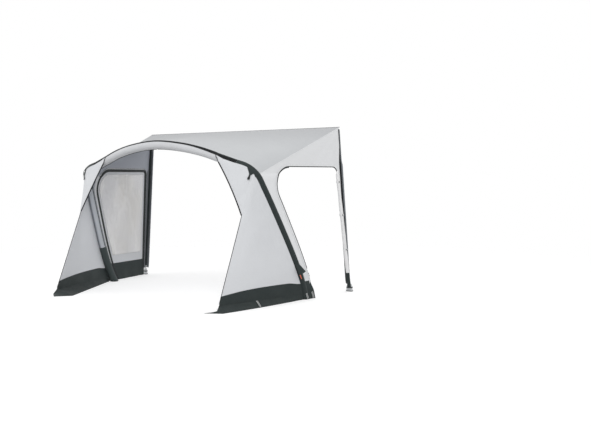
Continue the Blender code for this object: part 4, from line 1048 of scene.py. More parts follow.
# Each crease is where its middle lies, as shares of the width and the height, and its slope
film = {"columns": 60, "rows": 90, "ripple": 0.0034, "crease": 0.0045,
        "creases": [(0.18, 0.30, 0.9), (0.46, 0.62, -0.7), (0.62, 0.25, 1.2), (0.80, 0.74, 0.5),
                    (0.33, 0.84, -1.1), (0.55, 0.45, 0.25), (0.72, 0.55, -1.5), (0.25, 0.60, 1.9)]}
rows = []
for t in steps(0.0, 1.0, film["columns"]):
    column = []
    for level in steps(0.0, 1.0, film["rows"]):
        height = mix(door["windowBottom"] - door["lap"], filmTop, math.sin(math.pi / 2 * level))
        ahead, behind = doorSpan(height, filmInset)
        share = (height - door["windowBottom"]) / (filmTop - door["windowBottom"])
        wave = max(math.sin(math.pi * t) * math.sin(math.pi * min(max(share, 0.0), 1.0)), 0.0) ** 0.5
        ripple = film["ripple"] * (math.sin(9.0 * t + 5.0 * share) - 1.1)
        fold = 0.0
        for x, y, slope in film["creases"]:
            off = (t - x) * math.cos(slope) + (share - y) * 1.6 * math.sin(slope)
            run = (share - y) * 1.6 * math.cos(slope) - (t - x) * math.sin(slope)
            fold += math.exp(-abs(off) * 26.0) * math.exp(-(run / 0.36) ** 2) * math.copysign(1.0, slope)
        small = noise.noise(Vector((t * 7.0, share * 9.0, 1.3)))
        out = filmOut + wave * (ripple + film["crease"] * (0.75 * fold + 0.55 * small - 0.5))
        column.append(onWall(-1, mix(ahead, behind, t), height, out))
    rows.append(column)
sheet("left_window_film", rows, "film", ["left_door_border"], "left_door", ["left_door_window"],
      thickness=door["film"])

rows = []
for t in steps(0.0, 1.0, leftDoor["skirtColumns"]):
    column = []
    for height in steps(hemLift, door["skirt"] - gap, leftDoor["skirtRows"]):
        ahead, behind = doorSpan(height, zipOut)
        hang = (1 - height / door["skirt"]) * math.sin(math.pi * t) * leftDoor["hang"]
        out = hang * math.sin(t * 17.0 + 2.0 * noise.noise(Vector((t * 4, 0.0, 3.0))))
        column.append(onWall(-1, mix(ahead, behind, t), height, out))
    rows.append(column)
sheet("left_door_skirt_cloth", rows, "dark", ["left_door_border"], "left_door", ["left_door_skirt"], "hung")
for back in leftDoor["skirtStitches"]:  # from the hem, and from the top
    rise = back if back > 0 else door["skirt"] + back
    ahead, behind = doorSpan(rise, zipOut)
    seam("left_door", [onWall(-1, mix(ahead, behind, t), rise, threadLift + 0.0014)
                       for t in steps(0.02, 0.98, 40)], "darkThread")

# Sliders: a body, a bridge over it and a cord pull with a moulded end
slider = {"length": 0.016, "width": 0.012, "depth": 0.007, "pull": 0.050, "wire": 0.0011,
          # the grip: its share of the pull, its half width and its half depth
          "grip": [(0.46, 0.0012, 0.0010), (0.50, 0.0026, 0.0012), (0.62, 0.0034, 0.0014),
                   (0.74, 0.0032, 0.0012), (0.88, 0.0042, 0.0014), (0.97, 0.0040, 0.0013),
                   (1.0, 0.0016, 0.0008)]}


def sliderPiece(name, side, piece, height, node, body):
    line = doorSpot(piece, 0.0, 0.0), doorSpot(piece, 1.0, 0.0)
    t = (height - line[0][1]) / (line[1][1] - line[0][1])
    a = onWall(side, mix(line[0][0], line[1][0], t), height)
    b = onWall(side, *between(*line, t + 0.02))
    up = (b - a).normalized() * (1 if b.z > a.z else -1)
    z = Vector((side, 0, 0)).cross(up).normalized()
    x = up.cross(z)

    def spot(out, rise, wide):
        return a + x * (door["zip"] + out) + up * rise + z * wide

    half, deep = slider["length"] / 2, slider["depth"]
    outline = [(half, 0.55), (half * 0.7, 1.0), (-half * 0.4, 1.0), (-half, 0.62)]
    outline += [(rise, -wide) for rise, wide in reversed(outline)]
    rings = [[spot(deep * out, rise, wide * slider["width"] / 2 * narrow) for rise, wide in outline]
             for out, narrow in ((0.0, 1.0), (0.34, 1.0), (0.35, 0.82), (0.46, 0.80))]
    own(loft(name, rings, "nickel", 30), body, [node])
    arch = [spot(deep * (0.44 + 0.42 * math.sin(math.pi * t)), mix(half * 0.62, -half * 0.62, t), 0.0)
            for t in steps(0, 1, 10)]
    own(sweep(name + "_bridge", arch, ringOf(slider["wire"], 8), "nickel"), body)
    pull = [spot(deep * 0.80, -half * 0.1, 0.0), spot(deep * 0.86, -half * 0.9, 0.0),
            spot(deep * 0.82, -slider["pull"] * 0.5, 0.0)]
    own(sweep(name + "_cord", smoothLine(pull, 14), ringOf(slider["wire"], 8), "webbing"), body)
    rings = []
    for share, wide, thin in slider["grip"]:
        point = spot(deep * 0.82, -slider["pull"] * share, 0.0)
        rings.append([point + z * wide * math.cos(v) + x * thin * math.sin(v)
                      for v in (2 * math.pi * k / 14 for k in range(14))])
    own(loft(name + "_grip", rings, "black", 50), body)


sliderPiece("left_front_slider_body", -1, 0, 0.42, "left_slider_front", "left_front_slider")
sliderPiece("left_rear_slider_body", -1, 4, 0.42, "left_slider_rear", "left_rear_slider")
sliderPiece("right_front_slider_body", 1, 0, 0.36, "right_slider", "right_front_slider")

# Right door: rolled up about its rear edge, pinched by its ties and thin at the top
roll = {"radius": 0.033, "turns": 2.5, "pitch": 0.0070, "foot": 0.068, "top": 1.715,
        "pinch": 0.08, "wall": 0.0022, "tieThick": 0.0020, "tieWidth": 0.022, "rowHeight": 0.014,
        "across": 140, "toggle": (0.0046, 0.011), "loop": (0.018, 0.0016), "crush": 0.0013,
        "lean": 0.0012, "inset": 0.0016, "start": 1.2,
        "turnFoot": math.radians(17.0), "turnTop": math.radians(62.0)}
ties = {"roll_tie_low": 0.62, "roll_tie_middle": 1.12, "roll_tie_top": 1.60}
rollReach = door["zip"] + 5 * gap + roll["radius"] * (1 - roll["pinch"]) + roll["tieThick"]
rollReach /= math.cos((roll["turnTop"] - roll["turnFoot"]) / 2)
rollSeats = [(zipOut + rollReach * math.cos(a), rollReach * math.sin(a))
             for a in (roll["turnFoot"], roll["turnTop"])]


def rollCentre(height):
    low, high = [onWall(1, doorSpan(z, 0.0)[1] + ahead, z, out) for z, (out, ahead)
                 in zip((roll["foot"], roll["top"] - 0.12), rollSeats)]
    return mix(low, high, (height - low.z) / (high.z - low.z))


def rollWidth(height):  # the wind's outer radius: slimmer upwards, with slack between the ties
    near = min(abs(height - z) for z in ties.values())
    slim = mix(1.0, 0.86, ease((height - 0.9) / 0.85))
    slack = 0.94 + 0.04 * math.sin(height * 17.0) + 0.03 * noise.noise(Vector((0.0, 0.0, height * 3.0)))
    pinched = 1 - roll["pinch"] * math.exp(-(near / 0.035) ** 2)
    return roll["radius"] * min(slim, 1.0) * min(slack, pinched)


for name, node, low, high, kind in (
        ("rolled_skirt", "right_roll_skirt", roll["foot"], door["skirt"] - gap, "dark"),
        ("rolled_door", "right_door_roll", door["skirt"], roll["top"], "roll")):
    rows = []
    for height in steps(low, high, round((high - low) / roll["rowHeight"])):
        middle, outer, row = rollCentre(height), rollWidth(height), []
        for n in range(roll["across"] + 1):
            turn = 2 * math.pi * roll["turns"] * n / roll["across"]
            inward = (roll["pitch"] * turn / (2 * math.pi)) * outer / roll["radius"]
            near = Vector((math.cos(turn) * 1.4, math.sin(turn) * 1.4, height * 9.0 + 0.35 * turn))
            crush = roll["crush"] * noise.noise(near)
            lean = roll["lean"] * math.sin(height * 31.0 + turn * 2.0)
            radius = outer - roll["inset"] - inward - abs(crush) - 0.4 * abs(lean)
            turn -= roll["start"]
            row.append(middle + Vector((math.cos(turn), math.sin(turn), 0)) * radius)
        rows.append(row)
    sheet(name, rows, kind, ["right_zip_coil"], replaced=[node], held="folded", thickness=roll["wall"])
rollAxis = (rollCentre(1.5) - rollCentre(0.5)).normalized()
for name, height in ties.items():
    middle = rollCentre(height)
    x = Vector((0, 1, 0)).cross(rollAxis).normalized()
    y = rollAxis.cross(x)
    around = rollWidth(height) + roll["tieThick"] / 2 + 0.0004
    loop = [middle + (x * math.cos(v) + y * math.sin(v)) * around + rollAxis * 0.0012 * math.sin(3 * v)
            for v in (2 * math.pi * n / 40 for n in range(40))]
    normals = [(spot - middle).normalized() for spot in loop]
    own(sweep(name + "_webbing", loop, stripOf(roll["tieWidth"], roll["tieThick"]), "roll", normals, True),
        replaced=[name])
    way = Vector((0.85, -0.53, 0)).normalized()  # a toggle through the tie's loop
    thin, long = roll["toggle"]
    toggle = [middle + way * (around + thin + 0.0002) + rollAxis * s
              for s in (-long, -long + 0.002, 0.0, long - 0.002, long)]
    own(sweep(name + "_toggle", toggle, ringOf(thin, 10), "black"))
# A hanging loop of light tape at the roll's top
top, out = rollCentre(roll["top"]), Vector((0.62, -0.78, 0))
loop = [top + Vector((0, 0, -0.10)) + out * 0.020, top + Vector((0, 0, -0.02)) + out * 0.024,
        top + Vector((0, 0, 0.030)) + out * 0.012, top + Vector((0, 0, 0.044)),
        top + Vector((0, 0, 0.030)) - out * 0.012, top + Vector((0, 0, -0.03)) - out * 0.020]
own(sweep("roll_top_loop", smoothLine(loop, 40), stripOf(*roll["loop"]), "roll", out))
print("doors laid")

# Rear edges: padded bars, poles in sleeves, and boots strapped round the poles' feet
pads = {"voxel": 0.006, "pressure": 4.0, "cap": 0.004, "shrink": 0.0035, "rings": 90, "frames": 20,
        "clear": 0.0006, "channels": 6, "channelWidth": 0.012, "channelDeep": 0.42}


def padMesh(side):
    low, high = [place(side * (rearX(z) - edgeBar["inwards"]), edgeBar["depth"] / 2, z)
                 for z in (edgeBar["bottom"], edgeBar["top"])]
    rise = (high - low).normalized()
    x = Vector((0, 1, 0)).cross(rise).normalized()
    y = rise.cross(x)
    wide, deep = edgeBar["width"] / 2 - pads["shrink"], edgeBar["depth"] / 2 - pads["shrink"]
    rings, count = [], pads["rings"]
    for n in range(count + 1):
        t, tuck = n / count, min(n, count - n)
        full = (0.55, 0.80, 0.93)[tuck] if tuck < 3 else 1.0
        spot = low.lerp(high, t) + rise * pads["shrink"] * (1 - 2 * t)
        rings.append([spot + x * across + y * up for across, up
                      in cushionRing(wide * mix(1, full, 0.25), deep * full, 28, (0.35, 0.55))])
    return loft("right_rear_pad_cushion", rings, "pad"), (low, rise, x, y)


def inflate(made):
    # Fills the pad like a cushion: cloth under pressure, with each point's travel capped.
    scene = bpy.context.scene
    grid = made.modifiers.new("grid", "REMESH")
    grid.mode, grid.voxel_size = "VOXEL", pads["voxel"]
    made = plain(made)
    rest = [vert.co.copy() for vert in made.data.vertices]
    soft = made.modifiers.new("air", "CLOTH")
    soft.settings.use_pressure = True
    soft.settings.uniform_pressure_force = pads["pressure"]
    soft.settings.effector_weights.gravity = 0.0
    soft.settings.quality = 4
    for n in range(1, pads["frames"] + 1):
        scene.frame_set(n)
    made = plain(made)
    scene.frame_set(1)
    for vert, start in zip(made.data.vertices, rest):
        moved = vert.co - start
        if moved.length > pads["cap"]:
            vert.co = start + moved.normalized() * pads["cap"]
    return made


rightPad, (low, rise, x, y) = padMesh(1)
rightPad = inflate(rightPad)
clear = pads["clear"]
wide, deep = edgeBar["width"] / 2 - clear, edgeBar["depth"] / 2 - clear
ends = [place(rearX(edgeBar[end]), 0, edgeBar[end]) for end in ("top", "bottom")]
tall = (ends[0] - ends[1]).length
channels = [k / pads["channels"] for k in range(1, pads["channels"])]
for vert in rightPad.data.vertices:  # flat where it is pressed to the caravan, quilted across
    local = vert.co - low
    a, b, c = local.dot(x), local.dot(y), local.dot(rise)
    channel = sum(hump(c, tall * share, pads["channelWidth"]) for share in channels)
    b = b * (1 - pads["channelDeep"] * min(channel, 1.0))
    outer = mix(wide, edgeBar["inwards"] - 0.001, ease((c - tall * 0.74) / (tall * 0.06)))
    a, b, c = min(max(a, -wide), outer), min(max(b, -deep), deep), min(max(c, clear), tall - clear)
    vert.co = low + x * a + y * b + rise * c
leftMesh = rightPad.data.copy()
work = bmesh.new()
work.from_mesh(leftMesh)
bmesh.ops.scale(work, vec=(-1, 1, 1), verts=work.verts)
bmesh.ops.reverse_faces(work, faces=work.faces)
work.to_mesh(leftMesh)
work.free()
leftPad = put(leftMesh, "left_rear_pad_cushion", "pad")
for side, hand, made in ((-1, "left", leftPad), (1, "right", rightPad)):
    made.data.shade_smooth()
    own(made, replaced=[hand + "_rear_pad"])
    flip = Vector((side, 1, 1))
    for share in channels:
        for face in (y, -y):
            seam("canopy", [(low + rise * tall * share + x * s + face * (deep * 0.60 + gap)) * flip
                            for s in steps(-wide * 0.93, wide * 0.93, 14)], "darkThread")
print("pads filled")

poleReach = edgeBar["depth"] + gap + edgeBar["sleeve"]
poleIn = thick / 2 + gap + edgeBar["sleeve"] + 0.0012
poleSleeve = {"start": 0.055, "rows": 110, "sides": 24, "thick": 0.0010, "soft": 0.0009, "clear": 0.0005}
# The boot's rings: height, and shares of its width and depth; its strap and its sole's rim
boot = {"rings": [(0.0, 0.93, 0.92), (0.002, 0.985, 0.975), (0.010, 1.0, 1.0), (0.014, 0.99, 0.98),
                  (0.016, 0.90, 0.88), (0.050, 0.86, 0.84), (0.078, 0.80, 0.80), (0.092, 0.70, 0.74),
                  (0.101, 0.60, 0.66), (0.104, 0.54, 0.60)],
        "straps": [("webbing", 0.058, 0.016, 0.86), ("black", 0.007, 0.010, 1.0)],
        "strapThick": 0.0016, "strapOut": 0.0007, "outwards": 0.005}
for side, hand in hands:
    def poleAt(height):
        tips = [onWall(side, poleReach, edgeBar[end], out=-poleIn) for end in ("footHeight", "sleeveTop")]
        return mix(tips[0], tips[1], (height - tips[0].z) / (tips[1].z - tips[0].z))

    rise = (poleAt(2.0) - poleAt(1.0)).normalized()
    x = Vector((0, 1, 0)).cross(rise).normalized()
    y = rise.cross(x)
    rows = []
    for z in steps(edgeBar["footHeight"] + poleSleeve["start"], edgeBar["sleeveTop"], poleSleeve["rows"]):
        spot, ring = poleAt(z), []
        for k in range(poleSleeve["sides"] + 1):
            v = 2 * math.pi * k / poleSleeve["sides"]
            near = Vector((math.cos(v), math.sin(v), spot.z * 14.0 + side))
            soft = min(poleSleeve["soft"] * noise.noise(near), poleSleeve["clear"])
            radius = edgeBar["sleeve"] - poleSleeve["clear"] + soft
            ring.append(spot + (x * math.cos(v) + y * math.sin(v)) * radius)
        rows.append(ring)
    sheet(hand + "_pole_sleeve_cloth", rows, "dark", [hand + "_rear_pole"],
          replaced=[hand + "_pole_sleeve"], thickness=poleSleeve["thick"], offset=-1.0, ring=True)

    # A moulded block that tapers up to the pole, on a sole, with a strap round it
    foot = place(side * (stance["rearFootHalf"] + boot["outwards"]), edgeBar["footDepth"] / 2, 0.0)
    body, halfWide, halfDeep = hand + "_rear_leg", edgeBar["footWidth"] / 2, edgeBar["footDepth"] / 2
    rings = [[foot + Vector((x, y, height)) for x, y in cushionRing(wide * halfWide, deep * halfDeep, 32)]
             for height, wide, deep in boot["rings"]]
    own(loft(hand + "_boot", rings, "boot", 32), body, [hand + "_rear_foot"])
    for kind, height, tall, share in boot["straps"]:
        middle, out = foot + Vector((0, 0, height)), boot["strapOut"]
        loop = [middle + Vector((x, y, 0)) for x, y in
                cushionRing(halfWide * share + out, halfDeep * (share - 0.01) + out, 64)]
        normals = [(spot - middle).normalized() for spot in loop]
        own(sweep(f"{hand}_boot_{kind}", loop, stripOf(tall, boot["strapThick"]), kind, normals, True), body)

# Front wings: each row of cloth leaves the band, wraps the tube where it must and runs to the edge
strip = clothRadius + gap
edgeClear = cloth["piping"] + gap


def onEdge(side, share):  # along a wing's free edge: 0 at the beam, 1 at the kink, 2 on the floor
    kink, tip = [place(side * half, reach, height) for half, reach, height in (wing["kink"], wing["tip"])]
    start = along((station["wingTop"] + wing["drift"]) * side, clothRadius, wing["edgeTurn"])
    start = toward(start, kink, wing["edgeStart"])
    if share > 1:
        return mix(kink, tip, share - 1)
    toCloth = (centre(shoulder * side) - mix(start, kink, 0.5)).normalized()
    return mix(start, kink, share) + toCloth * wing["hollow"] * 4 * share * (1 - share)


def wingRow(s, side, goal):
    drift = side * wing["drift"] * ease(1 - (abs(s) - station["wingTop"]) / 4)
    foot = s + drift  # the first rows run slantwise over the tube, along the free edge
    out = heading(foot).cross(archNormal).normalized()
    away = goal - centre(foot)
    level = Vector((away.dot(out), away.dot(archNormal)))
    leave = math.atan2(level.y, level.x)
    leave += math.acos(min(clothRadius / max(level.length, clothRadius * 1.001), 1.0))
    start = bandFront(s) - wing["seam"]
    leave = min(start, leave)
    lifted = clothRadius + wing["lift"] + wing["bulge"] * bulgeAt(s)
    wrapped = lifted * (start - leave)
    off = along(foot, clothRadius if wrapped == 0 else lifted, leave)
    straight = (goal - off).length
    whole = wrapped + straight
    step = min(wing["wrapStep"], whole / (wing["wrapSteps"] + wing["freeSteps"]))

    def spot(run):
        if run < wrapped:
            radius = mix(clothRadius, lifted, ease(run / wing["liftRun"]))
            return along(s + drift * run / wrapped, radius, start - run / lifted)
        return mix(off, goal, (run - wrapped) / straight)

    runs = [step * n for n in range(wing["wrapSteps"] + 1)]
    return [spot(run) for run in runs + steps(runs[-1], whole, wing["freeSteps"])[1:]]


def wingNet(side):
    top, low, density = station["wingTop"], station["skirt"], wing["density"]
    spots = stations(top, low, density)
    runs = runOf([along(s * side, clothRadius, bandFront(s)) for s in spots])
    split = (shoulder - top) * density
    lowest = along(low * side, strip, band["frontLeg"] - wing["seam"]).z
    last = 1 + (wing["kink"][2] - lowest) / wing["kink"][2]
    upper = [wingRow(s * side, side, onEdge(side, run / runs[split]))
             for s, run in zip(spots[:split + 1], runs)]
    lower = []
    for s, run in zip(spots[split:], runs[split:]):
        share = (run - runs[split]) / (runs[-1] - runs[split])
        lower.append(wingRow(s * side, side, onEdge(side, mix(1.0, last, share))))
    return upper, lower


def crumple(rows, side, depth, drape):
    # Moves each point of a net along its own normal by what drape(row share, way out) says.
    made = [list(row) for row in rows]
    for n in range(1, len(rows) - 1):
        for m in range(1, len(rows[n]) - 1):
            face = (rows[n + 1][m] - rows[n - 1][m]).cross(rows[n][m + 1] - rows[n][m - 1])
            if face.length > 1e-12:
                push = depth * drape(n / (len(rows) - 1), m / (len(rows[n]) - 1), rows[n][m])
                made[n][m] = rows[n][m] + face.normalized() * push * side
    return made


def hem(rows, clear):  # draws the free edge back from its piping
    made = []
    for n, row in enumerate(rows):
        edge = (rows[min(n + 1, len(rows) - 1)][-1] - rows[max(n - 1, 0)][-1]).normalized()
        first = row[-1 - wing["hemSteps"]]
        back = (first - row[-1]).normalized()
        end = row[-1] + back * clear / max((back - edge * back.dot(edge)).length, 0.3)
        made.append(row[:-1 - wing["hemSteps"]] + steps(first, end, wing["hemSteps"]))
    return made


folds = {"upper": 0.0055, "lower": 0.0120, "stitches": (0.008, 0.014)}


def upperDrape(share, way, point):
    # Folds fan out of the shoulder and lie along the edge's pull.
    free = ease((way - 0.16) * 3.0) * ease((1 - way) * 5.0) * ease(share * 6) * ease((1 - share) * 5)
    fan = math.sin(share * 14.0 + 5.0 * way + 1.2 * noise.noise(point * 2.2))
    return free * (0.55 * fan + 0.8 * noise.noise(Vector((share * 3.0, way * 1.4, 2.6))))


def lowerDrape(share, way, point):
    t = max((way - 0.34) / 0.66, 0.0)
    long = math.sin(math.pi * t) * math.sin(math.pi * share) * math.sin(7.0 * t + 1.5)
    free = ease((way - 0.34) * 3.0) * ease((1 - way) * 5.0) * ease(share * 5) * ease((1 - share) * 4)
    pull = math.sin((share * 3.2 - way * 1.6) * 5.0 + 2.0 * noise.noise(point * 1.7))
    return long * 0.72 + free * (0.20 * pull + 0.30 * noise.noise(point * 3.0))


def skirtCurve(t):  # the skirt's top line rises between the leg and the edge, and drops at the edge
    return (0.027 - 0.013 * t) * ease(6 * t) - 0.054 * t ** 4


wings = {}
for side, hand in hands:
    upper, lower = wingNet(side)
    wings[hand] = upper + lower[1:]
    foot, above = lower[-1], lower[-2]
    ways = [(spot - foot[0]).length / (foot[-1] - foot[0]).length for spot in foot]
    lower = [[spot + (a - b).normalized() * skirtCurve(t) * (n / (len(lower) - 1)) ** 2
              for spot, a, b, t in zip(row, above, foot, ways)] for n, row in enumerate(lower)]
    upper = drawIn(hem(crumple(upper, side, folds["upper"], upperDrape), edgeClear),
                   edgeClear + wing["lift"], gap)
    lower = drawIn(hem(crumple(lower, side, folds["lower"], lowerDrape), edgeClear), gap, gap)
    for part, rows in (("upper", upper), ("lower", lower)):
        sheet(f"{hand}_wing_{part}_cloth", rows, "wing",
              [f"{hand}_outer_band_cloth", f"{hand}_edge_piping"], replaced=[f"{hand}_wing_{part}"],
              lining="wingInnerLight", outward=Vector((0.8 * side, -0.6, 0.2)))
        outward = Vector((0.2 * side, -1.0, 0.25)).normalized() * threadLift
        for back in folds["stitches"]:
            seam("canopy", [toward(row[-1], row[-3], back) + outward for row in rows[2:-2]])
    first = at("wingTop", side)
    turns = steps(band["frontTop"] - (cloth["piping"] + 2 * gap) / clothRadius, wing["pipingTurn"], 18)
    line = [along(first + side * wing["drift"] * n / 18, pipeRing + gap, turn)
            for n, turn in enumerate(turns)]
    shares = steps(0.03, 0.97, 40) + [0.985, 1.0, 1.015, 1.03]
    shares += [1 + (1 - height / wing["kink"][2]) for height in steps(1.10, cloth["flapHeight"], 40)]
    line += [onEdge(side, share) for share in shares]
    own(sweep(hand + "_edge_piping", line, ringOf(cloth["piping"] * 1.25), "piping"),
        replaced=[hand + "_wing_piping"])
    own(sweep(hand + "_edge_binding", [onEdge(side, share) for share in steps(0.02, 0.99, 40)],
              ringOf(cloth["piping"] * 2.4), "facing"))
print("wings laid")

# Skirts and mud flaps: a strip from the door's edge round the leg and out along the wing
skirting = {"wall": 14, "leg": 22, "wing": 44, "flapRows": 14, "sway": 0.006, "flapSway": 0.010,
            "flare": 0.02, "seam": (0.010, 0.0046), "stitchLift": 0.0022, "spike": (0.010, 0.020, 0.016)}
legTurns = steps(wallTurn, band["frontLeg"] - wing["seam"], skirting["leg"])
wingShares = steps(0.0, 1.0, skirting["wing"])[1:]
tab = {"columns": (8, 26, 62), "length": 0.105, "width": 0.026, "rail": 0.26, "rungs": 9, "thick": 0.0025,
       "lift": 0.0028, "spare": 0.014, "start": 0.002, "round": 0.0005}
acrossWing = Vector((wing["tip"][1] - beam["footReach"], beam["footHalf"] - wing["tip"][0], 0)).normalized()
wingOut = {side: Vector((acrossWing.x * side, -acrossWing.y, 0)) for side, hand in hands}


def skirtRow(side, s, floor=None, flare=0.0):
    ring = [along(s * side, strip + flare, turn, floor=floor) for turn in legTurns]
    height = ring[0].z
    ahead = doorSpan(height, -zipOut)[0]
    edgeReach = wallY - ring[0].y
    rear = wing["doorFlare"][floor is not None] * ease((s - station["skirt"]) / 2)
    row = [onWall(side, mix(ahead, edgeReach, n / skirting["wall"]), height,
                  out=mix(rear, flare, n / skirting["wall"])) for n in range(skirting["wall"])] + ring
    last = ring[-1]
    share = 1 + (wing["kink"][2] - last.z) / wing["kink"][2]
    for t in wingShares:
        point = mix(last, onEdge(side, min(share, 2.0)), t)
        if floor is not None:  # pegged outwards on the right, and turned in on the left
            pegged = (wing["flare"] - skirting["flare"]) * (1 - (1 - t) ** 2)
            point += wingOut[side] * (pegged if side > 0 else -wing["inward"] * t)
            point.z = floor
        row.append(point)
    return row


for side, hand in hands:
    levels = [skirtRow(side, s) for s in stations(station["seam"], station["skirt"], 5)]
    rows = [[level[n] for level in levels] for n in range(len(levels[0]))]
    first = skirting["wall"] + len(legTurns)
    for n, row in enumerate(rows):
        way = max(n - first, 0) / len(wingShares)
        rise = (row[-1] - row[0]).normalized() * skirtCurve(max(n - first + 1, 0) / len(wingShares))
        row[:] = [spot + rise * m / (len(row) - 1) for m, spot in enumerate(row)]
        outward = wingOut[side] if n >= first else Vector((side, 0, 0)) * 0.35
        free = skirting["sway"] * ease(way * 8) * ease(8 - way * 8)
        for m in range(1, len(row) - 1):
            wave = 0.7 * math.sin(way * 19.0 + side) + 0.9 * noise.noise(row[m] * 4.0)
            row[m] = row[m] + outward * free * math.sin(math.pi * m / (len(row) - 1)) * wave
    sheet(hand + "_skirt_cloth", drawIn(rows, gap, edgeClear), "dark", [hand + "_wing_lower_cloth"],
          replaced=[hand + "_skirt"])
    face = Vector((0.55 * side, -0.8, 0))
    high = skirtRow(side, station["seam"])
    low = skirtRow(side, lastStation, floor=hemLift, flare=skirting["flare"])
    rows = []
    for n in range(len(low)):
        way = n / (len(low) - 1)
        row = []
        for t in steps(0.0, 1.0, skirting["flapRows"]):
            point = mix(low[n], high[n], t)
            belly = math.sin(math.pi * t) * skirting["flapSway"]
            scallop = 0.5 * math.sin(way * 44.0 + 2.2 * math.sin(way * 9.0))
            scallop += 0.8 * noise.noise(Vector((way * 13.0, t * 1.2, side)))
            out = low[n] - high[n]
            out.z = 0
            out = out.normalized() if out.length > 1e-6 else face.normalized()
            row.append(point + out * belly * (scallop - 0.3) * ease(way * 30) * ease((1 - way) * 14))
        rows.append(row)
    last = mix(high[-1], high[-2], edgeClear / (high[-1] - high[-2]).length)
    rows[-1] = [mix(low[-1], last, t) for t in steps(0.0, 1.0, skirting["flapRows"])]
    aside, ahead, height = skirting["spike"]
    spike = [place(side * wing["spikeHalf"], stance["tipReach"] - gap, hemLift),
             place(side * (wing["tip"][0] + aside), wing["tip"][1] + ahead, height)]
    outer = evenly([mix(spike[0], spike[1], t) for t in steps(0, 1, 6)]
                   + [mix(spike[1], last, t) for t in steps(0.2, 1, 6)], skirting["flapRows"] + 1)
    for t in steps(0.12, 1.0, 7):
        rows.append([mix(a, b, t) for a, b in zip(rows[len(low) - 1], outer)])
    rows = drawIn(rows, gap)
    made = sheet(hand + "_mud_flap_cloth", rows, "dark", [hand + "_skirt_cloth"],
                 replaced=[hand + "_mud_flap"], held="hung")
    seam("canopy", [row[1] + Vector((0.4 * side, -0.3, 0.86)) * skirting["stitchLift"]
                    for row in rows[:len(low)]], "darkThread")
    # The seam between them is a bound ridge
    normals = [Vector((side, 0, 0))] * skirting["wall"]
    normals += [(spot - centre(station["seam"] * side)).normalized() for spot in high[skirting["wall"]:first]]
    normals += [wingOut[side]] * (len(high) - first)
    own(sweep(hand + "_flap_seam", high[1:-1] + [last], stripOf(*skirting["seam"]), "dark", normals[1:]))
    cloths = BVHTree.FromPolygons([vert.co for vert in made.data.vertices],
                                  [poly.vertices[:] for poly in made.data.polygons])

    # Ladder tabs for pegs: the frame has them on the right, and the left flap gets its own
    for number, column in enumerate(tab["columns"] if side < 0 else ()):
        a, b, middle = rows[column][-2], rows[column][0], skirting["flapRows"] // 2
        down = (b - a).normalized()
        across = (rows[column + 1][middle] - rows[column - 1][middle]).normalized()
        out = down.cross(across).normalized()
        out *= math.copysign(1.0, out.x * side)
        across = out.cross(down)
        tall = min(tab["length"], (b - a).length - tab["spare"])
        work = bmesh.new()
        bmesh.ops.create_grid(work, x_segments=3, y_segments=tab["rungs"], size=0.5)
        openings = [f for f in work.faces if abs(f.calc_center_median().x) < 0.1
                    and round((f.calc_center_median().y + 0.5) * tab["rungs"] - 0.5) % 2 == 1]
        bmesh.ops.delete(work, geom=openings, context="FACES_ONLY")
        for vert in work.verts:
            x = math.copysign(0.5 if abs(vert.co.x) > 0.4 else tab["rail"], vert.co.x) * tab["width"]
            spot = a + down * ((vert.co.y + 0.5) * tall + tab["start"]) + across * x
            hit = cloths.ray_cast(spot + out * 0.05, -out, 0.1)[0]
            vert.co = (hit or spot) + out * tab["lift"]
        made = put(meshOf(work, "tab"), f"left_ladder_tab_{number}", "grey")
        shell = made.modifiers.new("thickness", "SOLIDIFY")
        shell.thickness, shell.offset = tab["thick"], 0.0
        soft = made.modifiers.new("edges", "BEVEL")
        soft.width, soft.segments = tab["round"], 2
        own(plain(made))
print("skirts laid")

